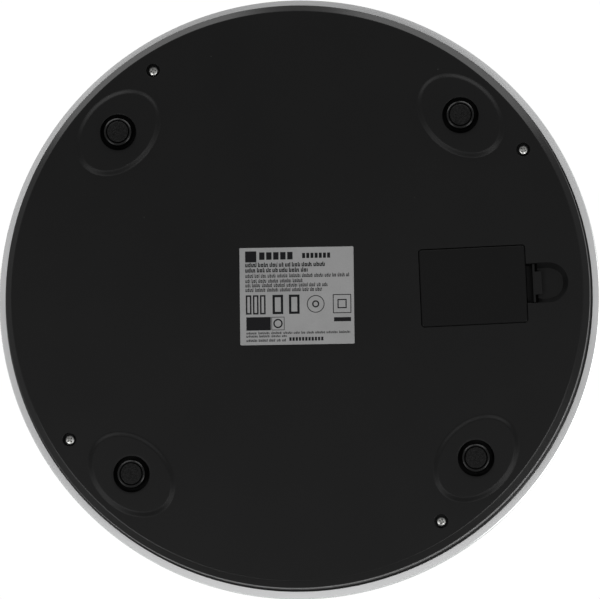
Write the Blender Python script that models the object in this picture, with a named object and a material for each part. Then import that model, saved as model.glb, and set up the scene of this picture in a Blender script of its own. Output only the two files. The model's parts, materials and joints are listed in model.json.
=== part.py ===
"""Round glass kitchen scale with four load-cell feet, modelled as its separate pieces.

Frame: metres, +Z up. The scale stands on its rubber feet at Z = 0 with its centre on the Z axis.
The display and the keys are on the -Y side, and the battery door is under the +X side.
"""

import math

import bmesh
import bpy
from mathutils import Matrix, Vector

MM = 0.001

# --- Driving dimensions ---------------------------------------------------------------------------
PLATFORM_RADIUS = 110.0 * MM
TOTAL_HEIGHT = 20.0 * MM
GLASS_THICKNESS = 4.6 * MM
GLASS_EDGE = 1.6 * MM
FILM_RADIUS = 109.7 * MM

BASE_Z = 3.0 * MM
BASE_FLOOR_TOP = 5.0 * MM
BASE_FLAT_RADIUS = 103.75 * MM
BASE_WALL_RADIUS = 106.4 * MM
CHAMFER_HEIGHT = 2.5 * MM
BASE_LIP_RADIUS = 107.4 * MM
BASE_INNER_RADIUS = 104.2 * MM
BASE_TOP = 14.4 * MM

FRAME_LOW = 12.9 * MM
FRAME_HIGH = 14.3 * MM
FRAME_RADIUS = 103.8 * MM

FOOT_CIRCLE = 88.35 * MM
FOOT_ANGLES = [math.radians(45 + 90 * k) for k in range(4)]
FOOT_HOLE_RADIUS = 6.5 * MM
FOOT_CUP_RADIUS = 4.95 * MM
FOOT_PAD_RADIUS = 3.95 * MM
FOOT_COLLAR_RADIUS = 8.0 * MM
PAD_HALF_LENGTH = 18.0 * MM
PAD_HALF_WIDTH = 13.6 * MM
PAD_BORDER = 2.2 * MM
PAD_HEIGHT = 0.9 * MM

CASE_SCREW_CIRCLE = 97.75 * MM
CASE_SCREW_ANGLES = [math.radians(60 + 90 * k) for k in range(4)]
COUNTERBORE_RADIUS = 2.5 * MM
COUNTERBORE_TOP = 6.0 * MM
PILLAR_TOP = 8.0 * MM

DOOR_LENGTH = 38.4 * MM
DOOR_WIDTH = 28.1 * MM
DOOR_THICKNESS = 1.5 * MM
DOOR_CORNER = 1.0 * MM
DOOR_X = 64.25 * MM
DOOR_Y = 0.0 * MM
FIT_GAP = 0.2 * MM
HINGE_X = DOOR_X - DOOR_LENGTH / 2 - 0.15 * MM
TAB_OFFSET = 8.0 * MM

LATCH_WIDTH = 13.8 * MM
TAB_WIDTH = 8.3 * MM
LATCH_ARM_X = 85.9 * MM
LATCH_PIVOT_X = 84.9 * MM
LATCH_PIVOT_Z = 7.8 * MM
LATCH_TAB_END_X = 89.25 * MM
WELL_END_X = 87.6 * MM
SCOOP_CENTRE_X = 91.35 * MM
SCOOP_RADIUS = 7.3 * MM
SCOOP_DEPTH = 3.0 * MM

CELL_X = 62.6 * MM
CELL_RADIUS = 10.0 * MM
CELL_LOW = 4.95 * MM
CELL_THICKNESS = 3.2 * MM
POCKET_TOP = 9.6 * MM
BLOCK_TOP = 10.8 * MM

BOARD_Y = -72.0 * MM
BOARD_LENGTH = 88.0 * MM
BOARD_WIDTH = 26.0 * MM
BOARD_LOW = 8.3 * MM
BOARD_HIGH = 9.5 * MM
BOARD_SCREWS = [(x * MM, y * MM) for x in (31.0, -31.0) for y in (-82.0, -62.0)]
WIRE_RADIUS = 0.5 * MM

DISPLAY_LENGTH = 50.0 * MM
DISPLAY_WIDTH = 20.0 * MM
WINDOW_LENGTH = 47.0 * MM
WINDOW_WIDTH = 17.0 * MM
KEY_X = 39.0 * MM
KEY_Y = -70.0 * MM
KEY_RADIUS = 6.0 * MM
KEY_HOLE_RADIUS = 6.4 * MM

LABEL_LENGTH = 41.5 * MM
LABEL_WIDTH = 35.45 * MM
LABEL_CENTRE = (0.2 * MM, 0.5 * MM)
LABEL_TURN = math.radians(1.8)

ROUND_SIDES = 72
HOLE_SIDES = 24
SMALL_SIDES = 14

# name: (colour, roughness, metallic)
FINISHES = {
    "glass": ((0.80, 0.84, 0.84), 0.05, 0.0),
    "silver_film": ((0.52, 0.52, 0.52), 0.35, 0.6),
    "adhesive": ((0.75, 0.75, 0.72), 0.80, 0.0),
    "black_plastic": ((0.013, 0.013, 0.014), 0.50, 0.0),
    "grey_plastic": ((0.35, 0.35, 0.36), 0.55, 0.0),
    "key_plastic": ((0.60, 0.60, 0.60), 0.35, 0.0),
    "rubber": ((0.020, 0.020, 0.020), 0.85, 0.0),
    "zinc_steel": ((0.62, 0.62, 0.60), 0.30, 1.0),
    "nickel_steel": ((0.55, 0.54, 0.50), 0.25, 1.0),
    "stamped_steel": ((0.45, 0.45, 0.45), 0.35, 1.0),
    "white_sealant": ((0.80, 0.80, 0.76), 0.60, 0.0),
    "board_green": ((0.02, 0.16, 0.06), 0.40, 0.0),
    "black_resin": ((0.010, 0.010, 0.010), 0.25, 0.0),
    "display_glass": ((0.32, 0.36, 0.30), 0.12, 0.0),
    "elastomer": ((0.80, 0.30, 0.35), 0.70, 0.0),
    "foil_label": ((0.26, 0.26, 0.26), 0.38, 0.5),
    "wire_white": ((0.70, 0.70, 0.70), 0.50, 0.0),
    "wire_red": ((0.55, 0.03, 0.03), 0.50, 0.0),
    "wire_black": ((0.02, 0.02, 0.02), 0.50, 0.0),
}


# --- Modelling helpers ----------------------------------------------------------------------------
def clear_scene():
    for obj in list(bpy.data.objects):
        bpy.data.objects.remove(obj, do_unlink=True)


def material(slot):
    found = bpy.data.materials.get(slot)
    if found:
        return found
    colour, roughness, metallic = FINISHES[slot]
    made = bpy.data.materials.new(slot)
    made.use_nodes = True
    shader = made.node_tree.nodes["Principled BSDF"]
    shader.inputs["Base Color"].default_value = (*colour, 1.0)
    shader.inputs["Roughness"].default_value = roughness
    shader.inputs["Metallic"].default_value = metallic
    return made


def object_from(name, bm, slot=None):
    """Turns a bmesh into a smooth-shaded object with sharp creases; with no slot it is a helper."""
    bmesh.ops.recalc_face_normals(bm, faces=bm.faces)
    mesh = bpy.data.meshes.new(name)
    bm.to_mesh(mesh)
    bm.free()
    mesh.shade_smooth()
    mesh.set_sharp_from_angle(angle=math.radians(32))
    obj = bpy.data.objects.new(name, mesh)
    bpy.context.scene.collection.objects.link(obj)
    if slot:
        mesh.materials.append(material(slot))
    else:
        obj.hide_render = True
        obj.display_type = "WIRE"
    return obj


def ellipse(half_length, half_width, sides=36, centre=(0.0, 0.0)):
    turns = [2 * math.pi * i / sides for i in range(sides)]
    return [(centre[0] + half_length * math.cos(a), centre[1] + half_width * math.sin(a)) for a in turns]


def circle(radius, sides, centre=(0.0, 0.0)):
    return ellipse(radius, radius, sides, centre)


def turned(name, profile, slot=None, sides=ROUND_SIDES, ring=False, centre=(0.0, 0.0)):
    """A solid turned about a vertical axis from (radius, height) points.

    The profile starts and ends on the axis, or for a ring it is the closed outline of the section.
    """
    bm = bmesh.new()
    loops = []
    for radius, height in profile:
        points = circle(radius, sides, centre) if radius else [centre]
        loops.append([bm.verts.new((x, y, height)) for x, y in points])
    pairs = list(zip(loops, loops[1:]))
    if ring:
        pairs.append((loops[-1], loops[0]))
    for first, second in pairs:
        for i in range(sides):
            j = (i + 1) % sides
            corners = [first[i % len(first)], first[j % len(first)]]
            corners += [second[j % len(second)], second[i % len(second)]]
            bm.faces.new(list(dict.fromkeys(corners)))
    return object_from(name, bm, slot)


def lofted(name, sections, slot=None):
    """A solid through sections of equal point count, closed by a flat face at each end."""
    bm = bmesh.new()
    loops = [[bm.verts.new(point) for point in section] for section in sections]
    bm.faces.new(reversed(loops[0]))
    bm.faces.new(loops[-1])
    for first, second in zip(loops, loops[1:]):
        for i in range(len(first)):
            j = (i + 1) % len(first)
            bm.faces.new((first[i], first[j], second[j], second[i]))
    return object_from(name, bm, slot)


def prism(name, outline, low, high, slot=None):
    """An outline of (x, y) points raised from one height to another."""
    return lofted(name, [[(x, y, z) for x, y in outline] for z in (low, high)], slot)


def side_prism(name, outline, centre_y, width, slot=None):
    """An outline of (x, z) points given a width along Y."""
    ends = (centre_y - width / 2, centre_y + width / 2)
    return lofted(name, [[(x, y, z) for x, z in outline] for y in ends], slot)


def box(name, low, high, slot=None):
    outline = [(low[0], low[1]), (high[0], low[1]), (high[0], high[1]), (low[0], high[1])]
    return prism(name, outline, low[2], high[2], slot)


def cylinder(name, radius, low, high, centre=(0.0, 0.0), slot=None, sides=HOLE_SIDES):
    return turned(name, [(0, low), (radius, low), (radius, high), (0, high)], slot, sides, centre=centre)


def rounded_rectangle(centre, size, radius, steps=4):
    points = []
    for quarter, (sx, sy) in enumerate(((1, 1), (-1, 1), (-1, -1), (1, -1))):
        corner_x = centre[0] + sx * (size[0] / 2 - radius)
        corner_y = centre[1] + sy * (size[1] / 2 - radius)
        for step in range(steps + 1):
            angle = math.pi / 2 * (quarter + step / steps)
            points.append((corner_x + radius * math.cos(angle), corner_y + radius * math.sin(angle)))
    return points


def arc(centre, radius, start, end, steps):
    """Points of a (radius, height) profile along an arc given in degrees."""
    turns = [math.radians(start + (end - start) * i / steps) for i in range(steps + 1)]
    return [(centre[0] + radius * math.cos(a), centre[1] + radius * math.sin(a)) for a in turns]


def ring_section(inner, outer, low, high):
    return [(inner, low), (outer, low), (outer, high), (inner, high)]


def boolean(target, tool, operation):
    modifier = target.modifiers.new(f"{operation.lower()} {tool.name}", "BOOLEAN")
    modifier.operation = operation
    modifier.solver = "EXACT"
    modifier.object = tool


def cut(target, *tools):
    for tool in tools:
        boolean(target, tool, "DIFFERENCE")


def add(target, *tools):
    for tool in tools:
        boolean(target, tool, "UNION")


def apply_modifiers(obj):
    graph = bpy.context.evaluated_depsgraph_get()
    made = bpy.data.meshes.new_from_object(obj.evaluated_get(graph))
    obj.modifiers.clear()
    obj.data = made
    return obj


def on_circle(radius, angle):
    return (radius * math.cos(angle), radius * math.sin(angle))


def place(obj, radius, angle):
    """Puts an object on a circle round the Z axis, turned so that its own +X points outwards."""
    obj.location = (*on_circle(radius, angle), 0.0)
    obj.rotation_euler = (0.0, 0.0, angle)
    return obj


def copies(obj, name, radius, angles):
    """The object itself as number 1 and a copy for each other place, sharing one mesh."""
    places = [obj] + [obj.copy() for _ in angles[1:]]
    for number, (piece, angle) in enumerate(zip(places, angles), start=1):
        if number > 1:
            bpy.context.scene.collection.objects.link(piece)
        piece.name = f"{name}_{number}"
        place(piece, radius, angle)
    return places


def set_origin(obj, point):
    """Moves an object's origin to a point without moving its shape."""
    obj.data.transform(Matrix.Translation(-Vector(point)))
    obj.location = point
    return obj


# --- Platform -------------------------------------------------------------------------------------
def key_places():
    return [(KEY_X, KEY_Y), (-KEY_X, KEY_Y)]


def glass_platform():
    low = TOTAL_HEIGHT - GLASS_THICKNESS
    edge = PLATFORM_RADIUS - GLASS_EDGE
    profile = [(0, low)]
    profile += arc((edge, low + GLASS_EDGE), GLASS_EDGE, -90, 0, 3)
    profile += arc((edge, TOTAL_HEIGHT - GLASS_EDGE), GLASS_EDGE, 0, 90, 3)
    profile += [(0, TOTAL_HEIGHT)]
    glass = turned("glass_platform", profile, "glass")
    for side, centre in zip(("right", "left"), key_places()):
        cut(glass, cylinder(f"glass_{side}_key_hole", KEY_HOLE_RADIUS, low - MM, TOTAL_HEIGHT + MM, centre))


def backing_film():
    low, high = 15.0 * MM, 15.2 * MM
    film = cylinder("backing_film", FILM_RADIUS, low, high, slot="silver_film", sides=ROUND_SIDES)
    window = rounded_rectangle((0, BOARD_Y), (WINDOW_LENGTH, WINDOW_WIDTH), 1.5 * MM)
    cut(film, prism("film_window", window, low - MM, high + MM))
    for side, centre in zip(("right", "left"), key_places()):
        cut(film, cylinder(f"film_{side}_key_hole", KEY_HOLE_RADIUS + FIT_GAP, low - MM, high + MM, centre))


def adhesive_ring():
    section = ring_section(97.0 * MM, 103.0 * MM, 14.5 * MM, 14.8 * MM)
    turned("adhesive_ring", section, "adhesive", sides=48, ring=True)


def upper_frame():
    """Plate glued under the glass, with bosses for the case screws and for the board screws."""
    frame = cylinder("upper_frame", FRAME_RADIUS, FRAME_LOW, FRAME_HIGH, slot="grey_plastic", sides=48)
    rib = ring_section(90.0 * MM, 91.2 * MM, 11.6 * MM, FRAME_LOW + 0.3 * MM)
    add(frame, turned("frame_rib", rib, ring=True, sides=48))
    case_places = [on_circle(CASE_SCREW_CIRCLE, angle) for angle in CASE_SCREW_ANGLES]
    bosses = [("case", case_places, 3.6 * MM, 1.5 * MM, PILLAR_TOP)]
    bosses += [("board", BOARD_SCREWS, 2.4 * MM, 1.1 * MM, BOARD_HIGH)]
    for name, places, radius, pilot, rests_on in bosses:
        low = rests_on + 0.3 * MM
        for number, centre in enumerate(places, start=1):
            boss = cylinder(f"{name}_boss_{number}", radius, low, FRAME_LOW + 0.3 * MM, centre, sides=18)
            hole = cylinder(f"{name}_pilot_{number}", pilot, low - MM, 12.5 * MM, centre, sides=SMALL_SIDES)
            add(frame, boss)
            cut(frame, hole)
    opening_size = (DISPLAY_LENGTH + 0.6 * MM, DISPLAY_WIDTH + 0.6 * MM)
    opening = rounded_rectangle((0, BOARD_Y), opening_size, 0.8 * MM)
    cut(frame, prism("display_opening", opening, FRAME_LOW - MM, FRAME_HIGH + MM))
    for side, centre in zip(("right", "left"), key_places()):
        hole = cylinder(f"frame_{side}_key_hole", KEY_HOLE_RADIUS, FRAME_LOW - MM, FRAME_HIGH + MM, centre)
        cut(frame, hole)


# --- Bottom cover ---------------------------------------------------------------------------------
def cover_tray():
    chamfer_end = BASE_Z + CHAMFER_HEIGHT
    profile = [(0, BASE_Z), (BASE_FLAT_RADIUS, BASE_Z), (BASE_FLAT_RADIUS + 0.4 * MM, BASE_Z + 0.15 * MM)]
    profile += [(BASE_WALL_RADIUS - 0.25 * MM, chamfer_end - 0.5 * MM), (BASE_WALL_RADIUS, chamfer_end)]
    profile += [(106.5 * MM, 12.7 * MM), (106.9 * MM, 13.2 * MM), (BASE_LIP_RADIUS, 13.6 * MM)]
    profile += [(BASE_LIP_RADIUS, BASE_TOP), (BASE_INNER_RADIUS + 0.4 * MM, BASE_TOP)]
    profile += [(BASE_INNER_RADIUS, BASE_TOP - 2.0 * MM), (BASE_INNER_RADIUS - 1.8 * MM, BASE_FLOOR_TOP)]
    profile += [(0, BASE_FLOOR_TOP)]
    return turned("bottom_cover", profile, "black_plastic")


def oval_pad(number, angle):
    """Raised oval island round a foot, long way along the rim."""
    full = ellipse(PAD_HALF_WIDTH, PAD_HALF_LENGTH)
    top = ellipse(PAD_HALF_WIDTH - PAD_BORDER, PAD_HALF_LENGTH - PAD_BORDER)
    sections = [
        [(x, y, BASE_Z - PAD_HEIGHT) for x, y in top],
        [(x, y, BASE_Z) for x, y in full],
        [(x, y, BASE_Z + MM) for x, y in full],
    ]
    return place(lofted(f"oval_pad_{number}", sections), FOOT_CIRCLE, angle)


def finger_scoop():
    """D-shaped hollow that gives a fingertip room to push the latch tab; its wall slopes."""
    half_turn = [math.radians(-90 + 180 * i / 12) for i in range(13)]
    start = WELL_END_X - 0.4 * MM
    sections = []
    for shrink, depth in ((0.0, -0.4 * MM), (0.0, 0.2 * MM), (1.7 * MM, SCOOP_DEPTH)):
        radius, z = SCOOP_RADIUS - shrink, BASE_Z + depth
        round_end = [
            (SCOOP_CENTRE_X + radius * math.cos(a), DOOR_Y + radius * math.sin(a), z) for a in half_turn
        ]
        sections.append([(start, round_end[0][1], z)] + round_end + [(start, round_end[-1][1], z)])
    return lofted("finger_scoop", sections)


def battery_bay(cover):
    """The coin-cell housing: a block on the tray's floor, hollowed for cell, contacts and latch."""
    floor = BASE_FLOOR_TOP - 0.5 * MM
    add(cover, box("bay_block", (42.6 * MM, -15.8 * MM, floor), (90.8 * MM, 15.8 * MM, BLOCK_TOP)))
    add(cover, box("scoop_block", (89.6 * MM, -9.7 * MM, floor), (100.8 * MM, 9.7 * MM, 7.4 * MM)))
    size = (DOOR_LENGTH + 2 * FIT_GAP, DOOR_WIDTH + 2 * FIT_GAP)
    seat = rounded_rectangle((DOOR_X, DOOR_Y), size, DOOR_CORNER + FIT_GAP)
    cut(cover, prism("door_seat", seat, BASE_Z - MM, BASE_Z + DOOR_THICKNESS + 0.3 * MM))
    pocket_radius = CELL_RADIUS + 0.4 * MM
    cut(cover, cylinder("cell_pocket", pocket_radius, 4.0 * MM, POCKET_TOP, (CELL_X, DOOR_Y), sides=32))
    bay_y = (DOOR_Y - 3.2 * MM, DOOR_Y + 3.2 * MM)
    cut(cover, box("side_contact_bay", (50.2 * MM, bay_y[0], 4.2 * MM), (54.1 * MM, bay_y[1], POCKET_TOP)))
    for name, x in (("side", 51.2 * MM), ("spring", 56.6 * MM)):
        low = (x - 0.6 * MM, DOOR_Y - 3.0 * MM, POCKET_TOP - MM)
        high = (x + 0.6 * MM, DOOR_Y + 3.0 * MM, BLOCK_TOP + MM)
        cut(cover, box(f"{name}_contact_slot", low, high))
    for side in (-1, 1):
        centre = DOOR_Y + side * TAB_OFFSET
        low = (43.2 * MM, centre - 3.4 * MM, BASE_Z + 0.6 * MM)
        high = (46.8 * MM, centre + 3.4 * MM, BASE_Z + 2.3 * MM)
        cut(cover, box(f"tab_pocket_{'left' if side < 0 else 'right'}", low, high))
    half = LATCH_WIDTH / 2 + 0.3 * MM
    low = (82.2 * MM, DOOR_Y - half, 2.0 * MM)
    cut(cover, box("latch_well", low, (WELL_END_X, DOOR_Y + half, 9.3 * MM)))
    cut(cover, finger_scoop())


def bottom_cover():
    cover = cover_tray()
    for number, angle in enumerate(FOOT_ANGLES, start=1):
        centre = on_circle(FOOT_CIRCLE, angle)
        add(cover, oval_pad(number, angle))
        cut(cover, cylinder(f"foot_hole_{number}", FOOT_HOLE_RADIUS, MM, 6.0 * MM, centre))
    for number, angle in enumerate(CASE_SCREW_ANGLES, start=1):
        centre = on_circle(CASE_SCREW_CIRCLE, angle)
        add(cover, cylinder(f"pillar_{number}", 3.8 * MM, 4.5 * MM, PILLAR_TOP, centre, sides=18))
        head = cylinder(f"counterbore_{number}", COUNTERBORE_RADIUS, MM, COUNTERBORE_TOP, centre, sides=18)
        shank = cylinder(f"screw_hole_{number}", 1.5 * MM, 5.0 * MM, 9.0 * MM, centre, sides=SMALL_SIDES)
        cut(cover, head, shank)
    battery_bay(cover)


# --- Feet and load cells --------------------------------------------------------------------------
def feet():
    """Each foot is a plastic cup with a rubber pad; its collar keeps it in the cover's hole."""
    rim = BASE_Z - 2.5 * MM
    cup = [(0, 1.7 * MM), (4.2 * MM, 1.7 * MM), (4.2 * MM, rim + 0.15 * MM), (4.35 * MM, rim)]
    cup += [(FOOT_CUP_RADIUS - 0.25 * MM, rim), (FOOT_CUP_RADIUS, rim + 0.25 * MM)]
    cup += [(FOOT_CUP_RADIUS, 5.3 * MM), (FOOT_COLLAR_RADIUS, 5.3 * MM), (FOOT_COLLAR_RADIUS, 6.1 * MM)]
    cup += [(2.6 * MM, 6.1 * MM), (2.2 * MM, 6.3 * MM), (0, 6.3 * MM)]
    copies(turned("foot_cup", cup, "black_plastic", sides=20), "foot_cup", FOOT_CIRCLE, FOOT_ANGLES)
    pad = [(0, 0), (3.5 * MM, 0), (FOOT_PAD_RADIUS, 0.35 * MM), (FOOT_PAD_RADIUS, 1.4 * MM), (0, 1.4 * MM)]
    copies(turned("foot_pad", pad, "rubber", sides=20), "foot_pad", FOOT_CIRCLE, FOOT_ANGLES)


def load_cells():
    """A steel plate with a central tongue, its plastic bracket, and the sealed strain gauge on it."""
    outline = rounded_rectangle((0, 0), (20.0 * MM, 30.0 * MM), 2.0 * MM, 3)
    plate = prism("load_cell", outline, 6.8 * MM, 8.0 * MM, "stamped_steel")
    reach, half, slot = 6.5 * MM, 11.0 * MM, 1.6 * MM
    inner_reach, inner_half = reach - slot, half - slot
    u_slot = [(-reach, -half), (reach, -half), (reach, half), (-reach, half), (-reach, inner_half)]
    u_slot += [(inner_reach, inner_half), (inner_reach, -inner_half), (-reach, -inner_half)]
    cut(plate, prism("load_cell_slot", u_slot, 6.0 * MM, 9.0 * MM))
    copies(apply_modifiers(plate), "load_cell", FOOT_CIRCLE, FOOT_ANGLES)

    outline = rounded_rectangle((0, 0), (22.0 * MM, 32.0 * MM), 3.0 * MM, 3)
    bracket = prism("load_cell_bracket", outline, 5.2 * MM, 6.5 * MM, "grey_plastic")
    cut(bracket, cylinder("bracket_hole", FOOT_COLLAR_RADIUS + 0.6 * MM, 4.0 * MM, 8.0 * MM))
    copies(apply_modifiers(bracket), "load_cell_bracket", FOOT_CIRCLE, FOOT_ANGLES)

    sections = []
    for shrink, z in ((0.0, 8.15 * MM), (0.0, 8.6 * MM), (0.8 * MM, 9.0 * MM)):
        size = (4.0 * MM - shrink, 7.0 * MM - shrink)
        sections.append([(x, y, z) for x, y in rounded_rectangle((-6.5 * MM, 0), size, 0.8 * MM, 3)])
    copies(lofted("gauge_seal", sections, "white_sealant"), "gauge_seal", FOOT_CIRCLE, FOOT_ANGLES)


# --- Fasteners ------------------------------------------------------------------------------------
def screw(name, head_radius, head_low, head_high, shank_radius, tip, slot):
    """Pan-head self-tapping screw, head down, with a cross recess."""
    height = head_high - head_low
    profile = [(0, head_low), (0.7 * head_radius, head_low + 0.1 * height)]
    profile += [(head_radius, head_low + 0.5 * height)]
    profile += [(head_radius, head_high), (shank_radius, head_high)]
    profile += [(shank_radius, tip - 1.2 * shank_radius), (0, tip)]
    made = turned(name, profile, slot, sides=SMALL_SIDES)
    arm, half = 0.52 * head_radius, 0.13 * head_radius
    cross = [(half, half), (half, arm), (-half, arm), (-half, half), (-arm, half), (-arm, -half)]
    cross += [(-half, -half), (-half, -arm), (half, -arm), (half, -half), (arm, -half), (arm, half)]
    cut(made, prism(f"{name}_recess", cross, head_low - MM, head_low + 0.6 * height))
    return apply_modifiers(made)


def case_screws():
    first = screw("case_screw", 1.95 * MM, 4.4 * MM, 5.8 * MM, 1.2 * MM, 12.2 * MM, "zinc_steel")
    copies(first, "case_screw", CASE_SCREW_CIRCLE, CASE_SCREW_ANGLES)


def board_screws():
    first = screw("board_screw", 1.5 * MM, 7.0 * MM, 8.1 * MM, 0.8 * MM, 12.0 * MM, "zinc_steel")
    for number, (x, y) in enumerate(BOARD_SCREWS, start=1):
        piece = first if number == 1 else first.copy()
        if number > 1:
            bpy.context.scene.collection.objects.link(piece)
        piece.name = f"board_screw_{number}"
        piece.location = (x, y, 0.0)


# --- Electronics ----------------------------------------------------------------------------------
def circuit_board():
    outline = rounded_rectangle((0, BOARD_Y), (BOARD_LENGTH, BOARD_WIDTH), 1.5 * MM, 3)
    board = prism("circuit_board", outline, BOARD_LOW, BOARD_HIGH, "board_green")
    for number, centre in enumerate(BOARD_SCREWS, start=1):
        cut(board, cylinder(f"board_hole_{number}", 1.2 * MM, 8.0 * MM, 10.0 * MM, centre, sides=12))
    low = BOARD_LOW - 0.1 * MM
    dome = [(0, low), (5.0 * MM, low), (4.6 * MM, low - 0.7 * MM)]
    dome += [(3.2 * MM, low - 1.2 * MM), (0, low - 1.4 * MM)]
    turned("controller_chip", dome, "black_resin", sides=20, centre=(-6.0 * MM, -76.0 * MM))


def display():
    outline = rounded_rectangle((0, BOARD_Y), (DISPLAY_LENGTH, DISPLAY_WIDTH), 0.5 * MM, 2)
    prism("display_module", outline, 11.9 * MM, 13.7 * MM, "display_glass")
    ring = rounded_rectangle((0, BOARD_Y), (54.0 * MM, 24.0 * MM), 1.0 * MM, 3)
    holder = prism("display_holder", ring, BOARD_HIGH + FIT_GAP, 11.7 * MM, "grey_plastic")
    hollow = rounded_rectangle((0, BOARD_Y), (47.0 * MM, 17.0 * MM), 0.6 * MM, 3)
    cut(holder, prism("holder_hollow", hollow, 9.0 * MM, 12.5 * MM))
    high_y = BOARD_Y + 8.1 * MM
    low, high = (-22.0 * MM, high_y - 1.9 * MM, 9.7 * MM), (22.0 * MM, high_y, 11.7 * MM)
    box("display_connector", low, high, "elastomer")


def keys_and_switches():
    """Each key passes through the glass and presses a switch on the board."""
    top = TOTAL_HEIGHT
    for name, (x, y) in zip(("right", "left"), key_places()):
        profile = [(0, 11.9 * MM), (7.4 * MM, 11.9 * MM), (7.4 * MM, 12.7 * MM), (KEY_RADIUS, 12.7 * MM)]
        profile += [(KEY_RADIUS, top - 0.5 * MM), (KEY_RADIUS - 0.5 * MM, top), (0, top)]
        key = turned(f"{name}_key", profile, "key_plastic", sides=24, centre=(x, y))
        set_origin(key, (x, y, 11.9 * MM))
        half = 3.0 * MM
        low, high = (x - half, y - half, 9.7 * MM), (x + half, y + half, 10.9 * MM)
        switch = box(f"{name}_switch", low, high, "black_resin")
        add(switch, cylinder(f"{name}_switch_plunger", 1.6 * MM, 10.5 * MM, 11.3 * MM, (x, y), sides=16))


# --- Battery, its door and contacts ---------------------------------------------------------------
def battery_door():
    """Snap-in door: two tabs hook behind the cover at its inner edge, and its outer edge has the latch."""
    centre, size = (DOOR_X, DOOR_Y), (DOOR_LENGTH, DOOR_WIDTH)
    bevel = 0.25 * MM
    face = rounded_rectangle(centre, (size[0] - 2 * bevel, size[1] - 2 * bevel), DOOR_CORNER - bevel)
    full = rounded_rectangle(centre, size, DOOR_CORNER)
    levels = ((face, BASE_Z), (full, BASE_Z + bevel), (full, BASE_Z + DOOR_THICKNESS))
    sections = [[(x, y, z) for x, y in outline] for outline, z in levels]
    door = lofted("battery_door", sections, "black_plastic")
    for side in (-1, 1):
        middle = DOOR_Y + side * TAB_OFFSET
        low = (43.55 * MM, middle - 3.0 * MM, BASE_Z + 0.9 * MM)
        high = (46.6 * MM, middle + 3.0 * MM, BASE_Z + DOOR_THICKNESS - 0.02 * MM)
        add(door, box(f"door_tab_{'left' if side < 0 else 'right'}", low, high))
    low = (82.5 * MM, DOOR_Y - LATCH_WIDTH / 2, BASE_Z + 0.8 * MM)
    high = (83.3 * MM, DOOR_Y + LATCH_WIDTH / 2, 7.0 * MM)
    add(door, box("latch_leg", low, high))
    set_origin(door, (HINGE_X, DOOR_Y, BASE_Z))


def door_latch():
    """The springy hoop and thumb tab on the door's outer edge; the hoop bends about its top."""
    arm = LATCH_ARM_X
    outer = arm + 0.8 * MM
    hoop = [(82.5 * MM, 7.3 * MM), (83.3 * MM, 7.3 * MM), (83.7 * MM, 7.6 * MM), (arm - 0.3 * MM, 7.6 * MM)]
    hoop += [(arm, 7.2 * MM), (arm, BASE_Z + 0.1 * MM), (outer, BASE_Z + 0.1 * MM), (outer, 7.6 * MM)]
    hoop += [(outer - 0.6 * MM, 8.3 * MM), (83.2 * MM, 8.3 * MM), (82.5 * MM, 7.8 * MM)]
    latch = side_prism("door_latch", hoop, DOOR_Y, LATCH_WIDTH, "black_plastic")
    root_x, root_top = outer - 0.4 * MM, BASE_Z + 1.3 * MM
    end = LATCH_TAB_END_X
    tab = [(root_x, BASE_Z), (end - 0.2 * MM, BASE_Z), (end, BASE_Z + 0.2 * MM)]
    tab += [(end, BASE_Z + 0.9 * MM), (outer + 0.8 * MM, root_top), (root_x, root_top)]
    add(latch, side_prism("latch_tab", tab, DOOR_Y, TAB_WIDTH))
    catch = [(outer - 0.4 * MM, 6.2 * MM), (outer + 0.5 * MM, 6.2 * MM), (outer - 0.4 * MM, 7.0 * MM)]
    add(latch, side_prism("latch_catch", catch, DOOR_Y, 6.0 * MM))
    set_origin(latch, (LATCH_PIVOT_X, DOOR_Y, LATCH_PIVOT_Z))


def coin_cell():
    low, high = CELL_LOW, CELL_LOW + CELL_THICKNESS
    rim = CELL_RADIUS
    profile = [(0, low), (rim - 0.5 * MM, low), (rim, low + 0.5 * MM), (rim, high - 0.4 * MM)]
    profile += [(rim - 1.3 * MM, high - 0.4 * MM), (rim - 1.6 * MM, high), (0, high)]
    turned("coin_cell", profile, "nickel_steel", sides=32, centre=(CELL_X, DOOR_Y))


def bent_strip(name, path, width, thickness, slot):
    """A strip of sheet metal bent along a path of (x, z) points."""
    sides = ([], [])
    for i, (x, z) in enumerate(path):
        before, after = Vector(path[max(i - 1, 0)]), Vector(path[min(i + 1, len(path) - 1)])
        along = (after - before).normalized()
        for side, sign in zip(sides, (1, -1)):
            side.append((x - sign * along.y * thickness / 2, z + sign * along.x * thickness / 2))
    return side_prism(name, sides[0] + sides[1][::-1], DOOR_Y, width, slot)


def battery_contacts():
    sheet = 0.25 * MM
    spring = [(56.6, 11.3), (56.6, 9.7), (56.95, 9.25), (62.6, 9.2), (67.1, 8.52), (68.6, 8.52), (70.2, 9.0)]
    spring = [(x * MM, z * MM) for x, z in spring]
    bent_strip("battery_spring_contact", spring, 5.0 * MM, sheet, "nickel_steel")
    side = [(51.2, 11.3), (51.2, 8.6), (51.9, 7.2), (51.9, 6.2), (51.1, 5.2)]
    side = [(x * MM, z * MM) for x, z in side]
    bent_strip("battery_side_contact", side, 5.0 * MM, sheet, "nickel_steel")


# --- Leads ----------------------------------------------------------------------------------------
def lead(name, route, slot):
    """An insulated wire along a smooth curve near its route's points."""
    curve = bpy.data.curves.new(name, "CURVE")
    curve.dimensions = "3D"
    curve.bevel_depth = WIRE_RADIUS
    curve.bevel_resolution = 1
    curve.resolution_u = 2
    curve.use_fill_caps = True
    spline = curve.splines.new("NURBS")
    spline.points.add(len(route) - 1)
    for point, (x, y, z) in zip(spline.points, route):
        point.co = (x * MM, y * MM, z * MM, 1.0)
    spline.order_u = 3
    spline.use_endpoint_u = True
    curve.materials.append(material(slot))
    obj = bpy.data.objects.new(name, curve)
    bpy.context.scene.collection.objects.link(obj)


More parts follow.
